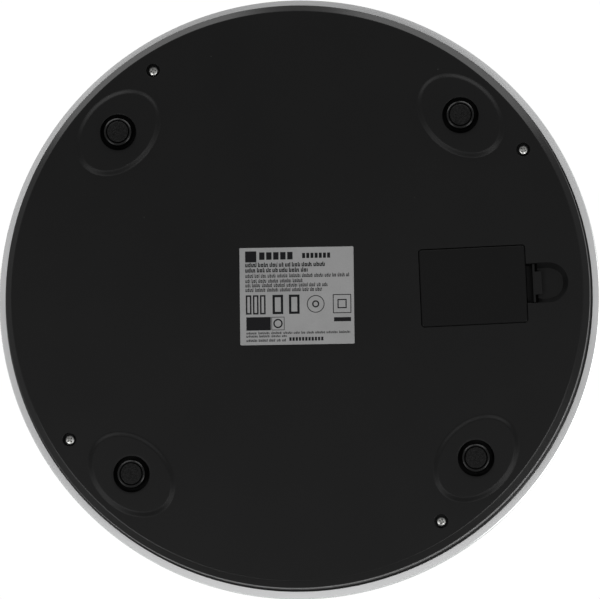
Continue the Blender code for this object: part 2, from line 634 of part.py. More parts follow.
def leads():
    back = [(56.1, 56.1, 8.8), (53.5, 53.5, 8.8), (50, 50, 6.6), (36, 34, 6.1), (28, 10, 6.1)]
    back += [(24, -20, 6.1), (12, -48, 6.3), (8, -56, 7.0), (8, -61, 7.4)]
    front = [(56.1, -56.1, 8.8), (53.5, -53.5, 8.8), (50.5, -50.5, 6.6), (44, -51, 6.2), (38, -55, 6.6)]
    front += [(36, -58, 7.0), (36, -61, 7.4)]
    for side, sign in (("right", 1), ("left", -1)):
        lead(f"back_{side}_cell_lead", [(sign * x, y, z) for x, y, z in back], "wire_white")
        lead(f"front_{side}_cell_lead", [(sign * x, y, z) for x, y, z in front], "wire_white")
    spring = [(56.6, 0, 12.1), (50.6, -6, 12.1), (44.6, -16, 11.8), (40, -26, 9.0), (37, -38, 6.6)]
    spring += [(30, -50, 6.4), (24, -56, 7.0), (24, -61, 7.4)]
    side = [(51.2, 0, 12.1), (46.6, -5, 12.1), (41.6, -12, 11.9), (36, -24, 9.0), (33, -38, 6.6)]
    side += [(26, -50, 6.4), (20, -56, 7.0), (20, -61, 7.4)]
    lead("battery_black_lead", spring, "wire_black")
    lead("battery_red_lead", side, "wire_red")


# --- Label ----------------------------------------------------------------------------------------
def rating_label():
    outline = rounded_rectangle((0, 0), (LABEL_LENGTH, LABEL_WIDTH), 0.4 * MM, 2)
    label = prism("rating_label", outline, BASE_Z - 0.2 * MM, BASE_Z - 0.05 * MM, "foil_label")
    label.location = (*LABEL_CENTRE, 0.0)
    label.rotation_euler = (0.0, 0.0, LABEL_TURN)


def main():
    clear_scene()
    glass_platform()
    backing_film()
    adhesive_ring()
    upper_frame()
    bottom_cover()
    feet()
    load_cells()
    case_screws()
    board_screws()
    circuit_board()
    display()
    keys_and_switches()
    battery_door()
    door_latch()
    coin_cell()
    battery_contacts()
    leads()
    rating_label()


main()
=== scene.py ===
"""Looks of a round glass kitchen scale, seen from below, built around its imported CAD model.

Metres, +Z up, in the model's own frame: the scale stands on its feet at Z = 0, centred on the Z axis,
with its display towards -Y and its battery door under the +X side.
"""

import json
import math

import bmesh
import bpy
from mathutils import Matrix, Vector, noise


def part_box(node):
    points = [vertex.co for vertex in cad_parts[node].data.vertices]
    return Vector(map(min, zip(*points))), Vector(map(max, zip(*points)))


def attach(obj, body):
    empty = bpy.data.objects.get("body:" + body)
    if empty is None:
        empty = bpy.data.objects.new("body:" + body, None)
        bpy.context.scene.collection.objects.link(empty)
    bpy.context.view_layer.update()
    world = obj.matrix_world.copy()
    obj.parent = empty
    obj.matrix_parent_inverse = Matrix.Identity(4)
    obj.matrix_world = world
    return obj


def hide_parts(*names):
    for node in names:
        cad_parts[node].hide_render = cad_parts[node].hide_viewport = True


MM = 0.001
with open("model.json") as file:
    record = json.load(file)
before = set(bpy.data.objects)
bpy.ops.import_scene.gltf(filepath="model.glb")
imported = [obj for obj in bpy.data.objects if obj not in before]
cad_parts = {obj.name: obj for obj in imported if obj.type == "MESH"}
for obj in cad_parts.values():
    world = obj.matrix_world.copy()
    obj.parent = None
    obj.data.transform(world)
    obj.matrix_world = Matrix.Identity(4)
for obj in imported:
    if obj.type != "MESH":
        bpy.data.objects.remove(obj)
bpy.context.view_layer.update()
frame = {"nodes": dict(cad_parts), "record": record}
NODES = frame["nodes"]


def low(node):
    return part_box(node)[0]


def high(node):
    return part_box(node)[1]


def centre_of(node):
    corner_low, corner_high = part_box(node)
    return (corner_low + corner_high) / 2


# --- Places and sizes read from the frame ---
PLATFORM_RADIUS = high("glass_platform").x
PLATFORM_TOP = high("glass_platform").z
GLASS_LOW = low("glass_platform").z
FILM_RADIUS = high("backing_film").x
FILM_LOW, FILM_HIGH = low("backing_film").z, high("backing_film").z
LIP_RADIUS = high("bottom_cover").x
COVER_TOP = PLATFORM_TOP - 5.6 * MM
PAD_FACE = low("bottom_cover").z
PAD_HEIGHT = 0.9 * MM
BASE_Z = PAD_FACE + PAD_HEIGHT
FOOT_PLACES = [centre_of(f"foot_pad_{k}") for k in range(1, 5)]
SCREW_PLACES = [centre_of(f"case_screw_{k}") for k in range(1, 5)]
DOOR_Y = centre_of("battery_door").y
KEY_PLACES = {side: centre_of(f"{side}_key") for side in ("right", "left")}
BOARD_Y = centre_of("circuit_board").y
CELL_X = centre_of("coin_cell").x
LABEL_PLACE = centre_of("rating_label")

# --- Sizes of the cover's underside, as in the model's design ---
FLAT_RADIUS = 103.75 * MM
WALL_RADIUS = 106.4 * MM
CHAMFER_SLOPE = math.radians(42)
WALL_TOP = 12.7 * MM
LIP_LOW = 13.6 * MM
FLOOR_TOP = 5.0 * MM
INNER_RADIUS = 104.2 * MM
OVAL_HALF_LENGTH = 18.0 * MM
OVAL_HALF_WIDTH = 13.6 * MM
OVAL_BORDER = 2.2 * MM
OVAL_STEPS = 10
FOOT_HOLE_RADIUS = 6.5 * MM
FOOT_HOLE_TOP = 6.0 * MM
BOSS_RADIUS = 3.8 * MM
BOSS_TOP = 8.0 * MM
COUNTERBORE_RADIUS = 2.5 * MM
COUNTERBORE_TOP = 6.0 * MM
DOOR_X = 64.25 * MM
DOOR_SIZE = (38.4 * MM, 28.1 * MM)
DOOR_THICKNESS = 1.5 * MM
DOOR_CORNER = 1.0 * MM
FIT_GAP = 0.2 * MM
POCKET_TOP = 9.6 * MM
BLOCK_TOP = 10.8 * MM
LATCH_WIDTH = 13.8 * MM
LATCH_ROOT = (82.5 * MM, 83.3 * MM)
LATCH_ARM_X = 85.9 * MM
TAB_WIDTH = 8.3 * MM
TAB_END_X = 89.25 * MM
WELL_END_X = 87.6 * MM
SCOOP_CENTRE_X = 91.35 * MM
SCOOP_RADIUS = 7.3 * MM
SCOOP_BLOCK_HALF_WIDTH = 9.7 * MM
SCOOP_BLOCK_TOP = 7.4 * MM
HOOK_OFFSET = 8.0 * MM
HOOK_HALF_WIDTH = 3.0 * MM
KEY_RADIUS = 6.0 * MM
KEY_HOLE_RADIUS = 6.4 * MM
KEY_DISH = 0.32 * MM
WINDOW = (47.0 * MM, 17.0 * MM)
LABEL_SIZE = (41.5 * MM, 35.45 * MM)
LABEL_TURN = math.radians(1.8)

FINE_SIDES = 256
HOLE_SIDES = 64
SCREW_SIDES = 40


# --- Mesh helpers ---
def object_from(name, bm, crease=30.0):
    """Turns a bmesh into a smooth object whose edges sharper than the crease angle stay sharp."""
    bmesh.ops.recalc_face_normals(bm, faces=bm.faces)
    mesh = bpy.data.meshes.new(name)
    bm.to_mesh(mesh)
    bm.free()
    mesh.shade_smooth()
    mesh.set_sharp_from_angle(angle=math.radians(crease))
    obj = bpy.data.objects.new(name, mesh)
    bpy.context.scene.collection.objects.link(obj)
    return obj


def ring(radius, sides, centre=(0.0, 0.0), stretch=(1.0, 1.0)):
    turns = [2 * math.pi * i / sides for i in range(sides)]
    return [
        (centre[0] + stretch[0] * radius * math.cos(a), centre[1] + stretch[1] * radius * math.sin(a))
        for a in turns
    ]


def arc(centre, radius, start, end, steps):
    """Points of a (radius, height) profile along an arc given in degrees."""
    turns = [math.radians(start + (end - start) * i / steps) for i in range(steps + 1)]
    return [(centre[0] + radius * math.cos(a), centre[1] + radius * math.sin(a)) for a in turns]


def loft(bm, sections, closed=False):
    """Joins sections of equal point count by quads; the end sections become flat faces unless closed."""
    loops = [[bm.verts.new(point) for point in section] for section in sections]
    pairs = list(zip(loops, loops[1:]))
    if closed:
        pairs.append((loops[-1], loops[0]))
    else:
        bm.faces.new(reversed(loops[0]))
        bm.faces.new(loops[-1])
    for first, second in pairs:
        for i in range(len(first)):
            j = (i + 1) % len(first)
            bm.faces.new((first[i], first[j], second[j], second[i]))
    return bm


def turn(bm, profile, sides, centre=(0.0, 0.0), closed=False):
    """A solid turned about a vertical axis from (radius, height) points off the axis."""
    return loft(bm, [[(x, y, z) for x, y in ring(r, sides, centre)] for r, z in profile], closed)


def prism(bm, outline, bottom, top):
    return loft(bm, [[(x, y, z) for x, y in outline] for z in (bottom, top)])


def block(bm, ends, middle, half_width, heights):
    """A box between two X places and two heights, as wide on each side of a middle line along X."""
    left, right = middle - half_width, middle + half_width
    return prism(bm, [(ends[0], left), (ends[1], left), (ends[1], right), (ends[0], right)], *heights)


def rounded_rectangle(centre, size, radius, steps=8):
    points = []
    for quarter, (sx, sy) in enumerate(((1, 1), (-1, 1), (-1, -1), (1, -1))):
        corner_x = centre[0] + sx * (size[0] / 2 - radius)
        corner_y = centre[1] + sy * (size[1] / 2 - radius)
        for step in range(steps + 1):
            angle = math.pi / 2 * (quarter + step / steps)
            points.append((corner_x + radius * math.cos(angle), corner_y + radius * math.sin(angle)))
    return points


def cross_outline(arm, half):
    """A plus sign round the origin, from the length of its arms and half their width."""
    outline = [(half, half), (half, arm), (-half, arm), (-half, half), (-arm, half), (-arm, -half)]
    outline += [(-half, -half), (-half, -arm), (half, -arm), (half, -half), (arm, -half), (arm, half)]
    return outline


def boolean(target, operation, bm):
    """Joins, or cuts away, closed shapes that don't touch each other, and applies the result."""
    tool = object_from(f"{target.name}_tool", bm)
    tool.hide_render = True
    modifier = target.modifiers.new("boolean", "BOOLEAN")
    modifier.operation = operation
    modifier.solver = "EXACT"
    modifier.object = tool
    apply_modifiers(target)
    bpy.data.objects.remove(tool)


def apply_modifiers(obj):
    graph = bpy.context.evaluated_depsgraph_get()
    made = bpy.data.meshes.new_from_object(obj.evaluated_get(graph))
    obj.modifiers.clear()
    obj.data = made


def crisp(obj, crease=30.0, bevel=0.0):
    """Optional small bevel, then smooth shading in which flat faces stay flat."""
    if bevel:
        modifier = obj.modifiers.new("bevel", "BEVEL")
        modifier.width = bevel
        modifier.segments = 2
        modifier.limit_method = "ANGLE"
        modifier.angle_limit = math.radians(crease)
        modifier.use_clamp_overlap = True
        apply_modifiers(obj)
    obj.data.shade_smooth()
    obj.data.set_sharp_from_angle(angle=math.radians(crease))
    weighted = obj.modifiers.new("weighted normals", "WEIGHTED_NORMAL")
    weighted.keep_sharp = True
    apply_modifiers(obj)


def mounted(obj, body, material, slot, *replaced):
    """Gives a finished piece its material and its body, and hides the CAD nodes it stands for."""
    obj.data.materials.clear()
    obj.data.materials.append(material)
    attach(obj, body)
    if replaced:
        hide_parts(*replaced)


# --- Material helpers ---
class Finish:
    """A Principled material with short ways to add noise to its colour, roughness and bump."""

    def __init__(self, name, colour=(0.5, 0.5, 0.5), roughness=0.5, metallic=0.0, **sockets):
        self.material = bpy.data.materials.new(name)
        self.material.use_nodes = True
        self.tree = self.material.node_tree
        self.shader = self.tree.nodes["Principled BSDF"]
        self.shader.inputs["Base Color"].default_value = (*colour, 1.0)
        self.shader.inputs["Roughness"].default_value = roughness
        self.shader.inputs["Metallic"].default_value = metallic
        for socket, value in sockets.items():
            self.shader.inputs[socket.replace("_", " ")].default_value = value
        self.place = self.tree.nodes.new("ShaderNodeTexCoord").outputs["Object"]
        self.height = None

    def node(self, kind, inputs=(), **settings):
        made = self.tree.nodes.new(kind)
        for name, value in settings.items():
            setattr(made, name, value)
        for socket, value in dict(inputs).items():
            if isinstance(value, bpy.types.NodeSocket):
                self.tree.links.new(value, made.inputs[socket])
            else:
                made.inputs[socket].default_value = value
        return made

    def link(self, value, socket):
        self.tree.links.new(value, self.shader.inputs[socket])

    def stretched(self, scale):
        return self.node("ShaderNodeMapping", {"Vector": self.place, "Scale": scale}).outputs["Vector"]

    def noise(self, size, detail=3.0):
        """Cloudy noise with features about as large as the size."""
        inputs = {"Vector": self.place, "Scale": 1 / size, "Detail": detail}
        return self.node("ShaderNodeTexNoise", inputs).outputs["Fac"]

    def remap(self, value, from_low, from_high, to_low, to_high):
        names = ("Value", "From Min", "From Max", "To Min", "To Max")
        values = (value, from_low, from_high, to_low, to_high)
        return self.node("ShaderNodeMapRange", dict(zip(names, values))).outputs["Result"]

    def blend(self, factor, first, second):
        inputs = {"Factor": factor}
        mix = self.node("ShaderNodeMix", inputs, data_type="RGBA")
        for socket, value in (("A", first), ("B", second)):
            target = [i for i in mix.inputs if i.name == socket and i.type == "RGBA"][0]
            if isinstance(value, bpy.types.NodeSocket):
                self.tree.links.new(value, target)
            else:
                target.default_value = (*value, 1.0)
        return [o for o in mix.outputs if o.type == "RGBA"][0]

    def calculate(self, operation, first, second=0.0):
        made = self.node("ShaderNodeMath", {0: first, 1: second}, operation=operation)
        return made.outputs["Value"]

    def colour_noise(self, first, second, size, detail=3.0):
        clouds = self.remap(self.noise(size, detail), 0.3, 0.7, 0.0, 1.0)
        colour = self.blend(clouds, first, second)
        self.link(colour, "Base Color")
        return colour

    def rough_noise(self, first, second, size, detail=3.0):
        self.link(self.remap(self.noise(size, detail), 0.3, 0.7, first, second), "Roughness")

    def bump(self, height, distance):
        """Adds one more layer of relief, of this depth, to the shader's normal."""
        inputs = {"Height": height, "Distance": distance}
        if self.height:
            inputs["Normal"] = self.height
        self.height = self.node("ShaderNodeBump", inputs).outputs["Normal"]
        self.link(self.height, "Normal")

    def specks(self, spacing, radius, share):
        """1 on small round specks: one per cell of the spacing, in the given share of the cells."""
        inputs = {"Vector": self.place, "Scale": 1 / spacing}
        cells = self.node("ShaderNodeTexVoronoi", inputs)
        near = self.calculate("LESS_THAN", cells.outputs["Distance"], radius / spacing)
        channels = self.node("ShaderNodeSeparateColor", {"Color": cells.outputs["Color"]})
        chosen = self.calculate("LESS_THAN", channels.outputs["Red"], share)
        return self.calculate("MULTIPLY", near, chosen)


def black_plastic(name, tone, roughness, specular):
    """Fine matt moulded plastic with faint flow clouds, small changes of gloss and specks of dust."""
    finish = Finish(name, roughness=roughness, Specular_IOR_Level=specular)
    clouds = finish.colour_noise((0.92 * tone, 0.93 * tone, 0.95 * tone), (1.06 * tone,) * 3, 40 * MM)
    dust = finish.specks(5.5 * MM, 0.14 * MM, 0.16)
    finish.link(finish.blend(dust, clouds, (0.07, 0.07, 0.068)), "Base Color")
    finish.rough_noise(roughness - 0.02, roughness + 0.02, 30 * MM)
    finish.bump(finish.noise(0.22 * MM, 2.0), 0.006 * MM)
    return finish.material


def silver_print():
    """Satin silver ink on the back of the glass: fine flake and slow changes of tone."""
    finish = Finish("silver_print", roughness=0.42, metallic=0.25)
    finish.colour_noise((0.74, 0.745, 0.75), (0.84, 0.842, 0.845), 0.10 * MM, 2.0)
    finish.rough_noise(0.36, 0.50, 22 * MM)
    finish.bump(finish.noise(0.09 * MM, 2.0), 0.004 * MM)
    return finish.material


def clear_glass():
    """Clear glass with a faint green cast and the slight waviness of tempered sheet."""
    finish = Finish("clear_glass", (0.95, 0.985, 0.975), 0.015, Transmission_Weight=1.0, IOR=1.5)
    finish.rough_noise(0.008, 0.03, 30 * MM)
    finish.bump(finish.noise(45 * MM, 1.0), 0.01 * MM)
    return finish.material


def foil():
    """Satin silver label stock with a very fine grain."""
    finish = Finish("label_foil", roughness=0.40, metallic=0.35)
    finish.colour_noise((0.28, 0.28, 0.28), (0.34, 0.34, 0.34), 0.12 * MM, 2.0)
    finish.rough_noise(0.36, 0.48, 6 * MM)
    finish.bump(finish.noise(0.10 * MM, 2.0), 0.003 * MM)
    return finish.material


def label_ink():
    finish = Finish("label_ink", roughness=0.5, Specular_IOR_Level=0.12)
    finish.colour_noise((0.004, 0.004, 0.005), (0.009, 0.009, 0.010), 0.2 * MM, 2.0)
    finish.rough_noise(0.42, 0.6, 0.4 * MM, 2.0)
    return finish.material


def rubber():
    """Matt rubber with a dull bloom and a pitted surface."""
    finish = Finish("rubber", roughness=0.6, Specular_IOR_Level=0.12)
    finish.colour_noise((0.001, 0.001, 0.001), (0.010, 0.010, 0.010), 0.6 * MM, 4.0)
    finish.rough_noise(0.45, 0.7, 0.5 * MM)
    finish.bump(finish.noise(0.3 * MM, 3.0), 0.05 * MM)
    return finish.material


def plated(name, first, second, roughness, grain):
    """Plated or stamped metal with fine drawn grain and small stains."""
    finish = Finish(name, metallic=1.0)
    finish.colour_noise(first, second, 1.6 * MM, 4.0)
    finish.rough_noise(roughness * 0.75, roughness * 1.35, 0.6 * MM, 4.0)
    finish.bump(finish.noise(grain, 3.0), 0.004 * MM)
    return finish.material


def moulded(name, first, second, roughness):
    """Plain moulded or painted plastic with a fine surface and slight changes of tone."""
    finish = Finish(name, roughness=roughness)
    finish.colour_noise(first, second, 5 * MM, 4.0)
    finish.rough_noise(roughness * 0.85, roughness * 1.15, 2.5 * MM)
    finish.bump(finish.noise(0.18 * MM, 2.0), 0.005 * MM)
    return finish.material


def solder_resist():
    """Green board: darker resist over the laminate, with pale pads and tracks showing as faint lines."""
    finish = Finish("solder_resist", roughness=0.32)
    grid = finish.node("ShaderNodeTexBrick", {"Vector": finish.stretched((220.0, 220.0, 220.0))})
    grid.inputs["Color1"].default_value = (0.012, 0.15, 0.05, 1.0)
    grid.inputs["Color2"].default_value = (0.016, 0.18, 0.06, 1.0)
    grid.inputs["Mortar"].default_value = (0.03, 0.26, 0.10, 1.0)
    finish.link(grid.outputs["Color"], "Base Color")
    finish.bump(grid.outputs["Fac"], 0.02 * MM)
    finish.rough_noise(0.25, 0.42, 3 * MM)
    return finish.material


def striped_elastomer():
    """Connector strip: thin dark conductive layers across pink rubber."""
    finish = Finish("striped_elastomer", roughness=0.65)
    inputs = {"Vector": finish.place, "Scale": 900.0}
    stripes = finish.node("ShaderNodeTexWave", inputs, wave_type="BANDS", bands_direction="X")
    finish.link(finish.blend(stripes.outputs["Fac"], (0.55, 0.22, 0.25), (0.10, 0.05, 0.06)), "Base Color")
    finish.rough_noise(0.55, 0.8, 0.8 * MM, 2.0)
    return finish.material


def liquid_crystal():
    """Grey-green reflective display glass."""
    finish = Finish("liquid_crystal", roughness=0.22, Coat_Weight=0.6, Coat_Roughness=0.05)
    finish.colour_noise((0.33, 0.37, 0.31), (0.37, 0.41, 0.345), 9 * MM)
    finish.rough_noise(0.2, 0.3, 4 * MM, 2.0)
    finish.bump(finish.noise(0.15 * MM, 1.0), 0.002 * MM)
    return finish.material


# name: (tone, roughness, specular level)
BLACK_PLASTICS = {
    "black_plastic": (0.0048, 0.42, 0.18),
    "door_plastic": (0.0040, 0.45, 0.13),
    # painted shade: a darker copy of the black plastic, for the foot cups' faces down inside the foot holes
    "painted_shade_plastic": (0.002, 0.5, 0.06),
    "rim_plastic": (0.0045, 0.29, 0.3),
}
# name: (darkest colour, lightest colour, roughness)
MOULDED = {
    "grey_plastic": ((0.28, 0.28, 0.285), (0.35, 0.35, 0.355), 0.5),
    "key_plastic": ((0.50, 0.505, 0.51), (0.56, 0.565, 0.57), 0.3),
    "white_sealant": ((0.70, 0.70, 0.66), (0.82, 0.82, 0.78), 0.55),
    "black_resin": ((0.008, 0.008, 0.008), (0.014, 0.014, 0.014), 0.22),
    "wire_white": ((0.62, 0.62, 0.61), (0.72, 0.72, 0.71), 0.45),
    "wire_red": ((0.46, 0.02, 0.02), (0.56, 0.035, 0.03), 0.45),
    "wire_black": ((0.012, 0.012, 0.012), (0.022, 0.022, 0.022), 0.45),
    "digit_shown": ((0.02, 0.022, 0.02), (0.03, 0.032, 0.03), 0.4),
    "digits_unlit": ((0.27, 0.305, 0.255), (0.30, 0.335, 0.28), 0.4),
}
# name: (darkest colour, lightest colour, roughness, size of the grain)
PLATED = {
    "zinc_steel": ((0.42, 0.42, 0.41), (0.68, 0.68, 0.66), 0.36, 0.1 * MM),
    "nickel_steel": ((0.58, 0.57, 0.54), (0.68, 0.67, 0.64), 0.24, 0.2 * MM),
    "stamped_steel": ((0.42, 0.42, 0.42), (0.52, 0.52, 0.52), 0.38, 0.12 * MM),
}


def make_finishes():
    finishes = {
        "glass": clear_glass(),
        "silver_film": silver_print(),
        "adhesive": moulded("foam_tape", (0.62, 0.62, 0.58), (0.74, 0.74, 0.70), 0.8),
        "rubber": rubber(),
        "board_green": solder_resist(),
        "display_glass": liquid_crystal(),
        "elastomer": striped_elastomer(),
        "foil_label": foil(),
        "label_ink": label_ink(),
    }
    for make, table in ((black_plastic, BLACK_PLASTICS), (moulded, MOULDED), (plated, PLATED)):
        finishes.update({name: make(name, *settings) for name, settings in table.items()})
    return finishes


# --- Stage: camera, world, floor and lights ---
CAMERA_DISTANCE = 1.9
CAMERA_TILT_UP = math.radians(-5.66)
CAMERA_TILT_SIDE = math.radians(3.27)
CAMERA_ROLL = math.radians(2.44)
CAMERA_AIM = (0.67 * MM, -0.75 * MM)
VIEW_WIDTH = 219.02 * MM
LOOK_AT_Z = 14.0 * MM


def camera_axes():
    """Right, up and forward of a camera that looks up from below, with the front edge at the top."""
    from_below = Matrix(((1, 0, 0), (0, -1, 0), (0, 0, 1)))
    up_c, up_s = math.cos(CAMERA_TILT_UP), math.sin(CAMERA_TILT_UP)
    side_c, side_s = math.cos(CAMERA_TILT_SIDE), math.sin(CAMERA_TILT_SIDE)
    roll_c, roll_s = math.cos(CAMERA_ROLL), math.sin(CAMERA_ROLL)
    side = Matrix(((side_c, 0, side_s), (0, 1, 0), (-side_s, 0, side_c)))
    up = Matrix(((1, 0, 0), (0, up_c, up_s), (0, -up_s, up_c)))
    roll = Matrix(((roll_c, -roll_s, 0), (roll_s, roll_c, 0), (0, 0, 1)))
    return roll @ up @ side @ from_below


def make_camera():
    right, up, forward = camera_axes()
    data = bpy.data.cameras.new("camera")
    data.lens = data.sensor_width * CAMERA_DISTANCE / VIEW_WIDTH
    data.clip_start, data.clip_end = 0.1, 100.0
    camera = bpy.data.objects.new("camera", data)
    place = Vector((0, 0, LOOK_AT_Z)) - CAMERA_DISTANCE * forward
    place += CAMERA_AIM[0] * right + CAMERA_AIM[1] * up
    turned = Matrix((right, up, -forward)).transposed().to_4x4()
    camera.matrix_world = Matrix.Translation(place) @ turned
    bpy.context.scene.collection.objects.link(camera)
    bpy.context.scene.camera = camera


# the world's strength as the camera sees it, and as it lights the scale from above and from below, with
# the two heights of the direction looked in between which the second goes over into the third
WORLD_SEEN = 1.02
WORLD_LIGHT = 0.64
WORLD_BELOW = 0.31
HORIZON = (-0.08, -0.01)


def make_world():
    """A world that is plain white to the camera, and lights the scale more dimly, least from below."""
    world = bpy.data.worlds.new("studio")
    bpy.context.scene.world = world
    world.use_nodes = True
    tree = world.node_tree
    background = tree.nodes["Background"]
    place = tree.nodes.new("ShaderNodeTexCoord").outputs["Generated"]
    split = tree.nodes.new("ShaderNodeSeparateXYZ")
    ramp = tree.nodes.new("ShaderNodeMapRange")
    tree.links.new(place, split.inputs["Vector"])
    tree.links.new(split.outputs["Z"], ramp.inputs["Value"])
    sockets = ("From Min", "From Max", "To Min", "To Max")
    for socket, value in zip(sockets, (*HORIZON, WORLD_BELOW, WORLD_LIGHT)):
        ramp.inputs[socket].default_value = value
    seen = tree.nodes.new("ShaderNodeLightPath").outputs["Is Camera Ray"]
    choice = tree.nodes.new("ShaderNodeMix")
    choice.inputs["B"].default_value = WORLD_SEEN
    tree.links.new(seen, choice.inputs["Factor"])
    tree.links.new(ramp.outputs["Result"], choice.inputs["A"])
    tree.links.new(choice.outputs["Result"], background.inputs["Strength"])
    background.inputs["Color"].default_value = (1.0, 1.0, 1.0, 1.0)


FLOOR_RADIUS = 40.0


def make_floor():
    """A pale floor under the feet, seen from above only, which neither blocks nor throws light."""
    bm = bmesh.new()
    bm.faces.new([bm.verts.new((x, y, 0.0)) for x, y in ring(FLOOR_RADIUS, 64)])
    floor = object_from("floor", bm)
    floor.visible_diffuse = False
    floor.visible_glossy = False
    floor.visible_transmission = False
    floor.visible_shadow = False
    finish = Finish("pale_floor", (0.90, 0.90, 0.90), 0.7, Specular_IOR_Level=0.2)
    tree = finish.tree
    facing = finish.node("ShaderNodeNewGeometry").outputs["Backfacing"]
    clear = finish.node("ShaderNodeBsdfTransparent")
    mix = finish.node("ShaderNodeMixShader", {0: facing})
    tree.links.new(finish.shader.outputs["BSDF"], mix.inputs[1])
    tree.links.new(clear.outputs["BSDF"], mix.inputs[2])
    tree.links.new(mix.outputs["Shader"], tree.nodes["Material Output"].inputs["Surface"])
    floor.data.materials.append(finish.material)


def area_light(name, bearing, elevation, distance, size, power):
    """A square soft light aimed at the scale: bearing from +X towards +Y, elevation above the floor."""
    bearing, elevation = math.radians(bearing), math.radians(elevation)
    flat = math.cos(elevation)
    direction = Vector((flat * math.cos(bearing), flat * math.sin(bearing), math.sin(elevation)))
    data = bpy.data.lights.new(name, "AREA")
    data.shape = "SQUARE"
    data.size = size
    data.energy = power
    light = bpy.data.objects.new(name, data)
    light.location = direction * distance
    light.rotation_euler = direction.to_track_quat("Z", "Y").to_euler()
    bpy.context.scene.collection.objects.link(light)


# name: (bearing, elevation, distance, size, power)
LIGHTS = {
    "below_far_right": (42, -60, 0.8, 0.20, 1.0),
    "below_far_left": (138, -60, 0.8, 0.20, 0.95),
    "low_far_right": (35, -27, 0.52, 0.24, 0.6),
    "low_far_left": (145, -27, 0.52, 0.24, 0.5),
    "low_near_right": (-60, -7, 0.45, 0.36, 1.0),
    "low_near_left": (-120, -7, 0.45, 0.36, 0.95),
    "above_left": (-150, 50, 1.2, 0.60, 2.0),
    "above_right": (30, 60, 1.2, 0.60, 1.2),
}


def make_stage():
    bpy.context.scene.view_settings.view_transform = "Standard"
    make_camera()
    make_world()
    make_floor()
    for name, settings in LIGHTS.items():
        area_light(name, *settings)


# --- Platform ---
GLASS_EDGE = 1.6 * MM


def key_hole_cutters(radius, bottom, top):
    bm = bmesh.new()
    for place in KEY_PLACES.values():
        turn(bm, [(radius, bottom - MM), (radius, top + MM)], HOLE_SIDES, place)
    return bm


def make_platform(finishes):
    edge = PLATFORM_RADIUS - GLASS_EDGE
    profile = arc((edge, GLASS_LOW + GLASS_EDGE), GLASS_EDGE, -90, 0, 8)
    profile += arc((edge, PLATFORM_TOP - GLASS_EDGE), GLASS_EDGE, 0, 90, 8)
    glass = object_from("platform_glass", turn(bmesh.new(), profile, FINE_SIDES))
    boolean(glass, "DIFFERENCE", key_hole_cutters(KEY_HOLE_RADIUS, GLASS_LOW, PLATFORM_TOP))
    crisp(glass, bevel=0.25 * MM, crease=40)
    mounted(glass, "scale_body", finishes["glass"], "glass", "glass_platform")
    glass.visible_shadow = False

    profile = [(FILM_RADIUS, FILM_LOW), (FILM_RADIUS, FILM_HIGH)]
    film = object_from("silver_print", turn(bmesh.new(), profile, FINE_SIDES))
    window = rounded_rectangle((0, BOARD_Y), WINDOW, 1.5 * MM)
    tools = key_hole_cutters(KEY_HOLE_RADIUS + FIT_GAP, FILM_LOW, FILM_HIGH)
    prism(tools, window, FILM_LOW - MM, FILM_HIGH + MM)
    boolean(film, "DIFFERENCE", tools)
    crisp(film)
    mounted(film, "scale_body", finishes["silver_film"], "silver_film", "backing_film")


# --- Bottom cover ---
def tray(bm):
    """The black tray: flat base, chamfer with softened edges, side wall and a lip under the glass."""
    inner, outer = 0.6 * MM, 0.7 * MM
    sine, cosine = math.sin(CHAMFER_SLOPE), math.cos(CHAMFER_SLOPE)
    run = WALL_RADIUS - outer * (1 - sine) - FLAT_RADIUS - inner * sine
    rise = inner * (1 - cosine) + run * math.tan(CHAMFER_SLOPE) + outer * cosine
    slope = math.degrees(CHAMFER_SLOPE)
    profile = arc((FLAT_RADIUS, BASE_Z + inner), inner, -90, slope - 90, 6)
    profile += arc((WALL_RADIUS - outer, BASE_Z + rise), outer, slope - 90, 0, 7)
    profile += arc((WALL_RADIUS + 0.8 * MM, WALL_TOP), 0.5 * MM, 180, 120, 4)
    profile += arc((LIP_RADIUS - 0.3 * MM, LIP_LOW), 0.3 * MM, -60, 0, 5)
    profile += arc((LIP_RADIUS - 0.2 * MM, COVER_TOP - 0.2 * MM), 0.2 * MM, 0, 90, 3)
    profile += [(INNER_RADIUS + 0.4 * MM, COVER_TOP), (INNER_RADIUS, COVER_TOP - 2.0 * MM)]
    profile += [(INNER_RADIUS - 1.8 * MM, FLOOR_TOP)]
    return turn(bm, profile, FINE_SIDES)


def oval_levels():
    """Insets and heights of an oval island, from inside the cover out over its S-shaped border."""
    levels = [(0.0, BASE_Z + MM)]
    for step in range(OVAL_STEPS + 1):
        share = step / OVAL_STEPS
        soft = share * share * (3 - 2 * share)
        levels.append((OVAL_BORDER * share, BASE_Z - PAD_HEIGHT * (0.15 * share + 0.85 * soft)))
    return levels


def oval_island(bm, place):
    angle = math.atan2(place.y, place.x)
    turn_matrix = Matrix.Rotation(angle, 2)
    sections = []
    for inset, z in oval_levels():
        outline = ring(1.0, 128, stretch=(OVAL_HALF_WIDTH - inset, OVAL_HALF_LENGTH - inset))
        turned = [turn_matrix @ Vector(point) for point in outline]
        sections.append([(place.x + p.x, place.y + p.y, z) for p in turned])
    loft(bm, sections)


def lipped_hole(bm, place, radius, face, top, lip, sides, dish=0.0, dish_radius=0.0):
    """A cutter for a round hole whose mouth is rounded, inside an optional very shallow dish."""
    mouth = face + dish
    profile = [(radius + lip, face - MM)]
    if dish:
        profile = [(dish_radius + 0.3 * MM, face - MM), (dish_radius + 0.02 * MM, face - 0.02 * MM)]
        profile += [(radius + lip + 0.3 * MM, mouth - 0.02 * MM)]
    profile += arc((radius + lip, mouth + lip), lip, 270, 180, 5)
    profile += [(radius, top)]
    turn(bm, profile, sides, place)


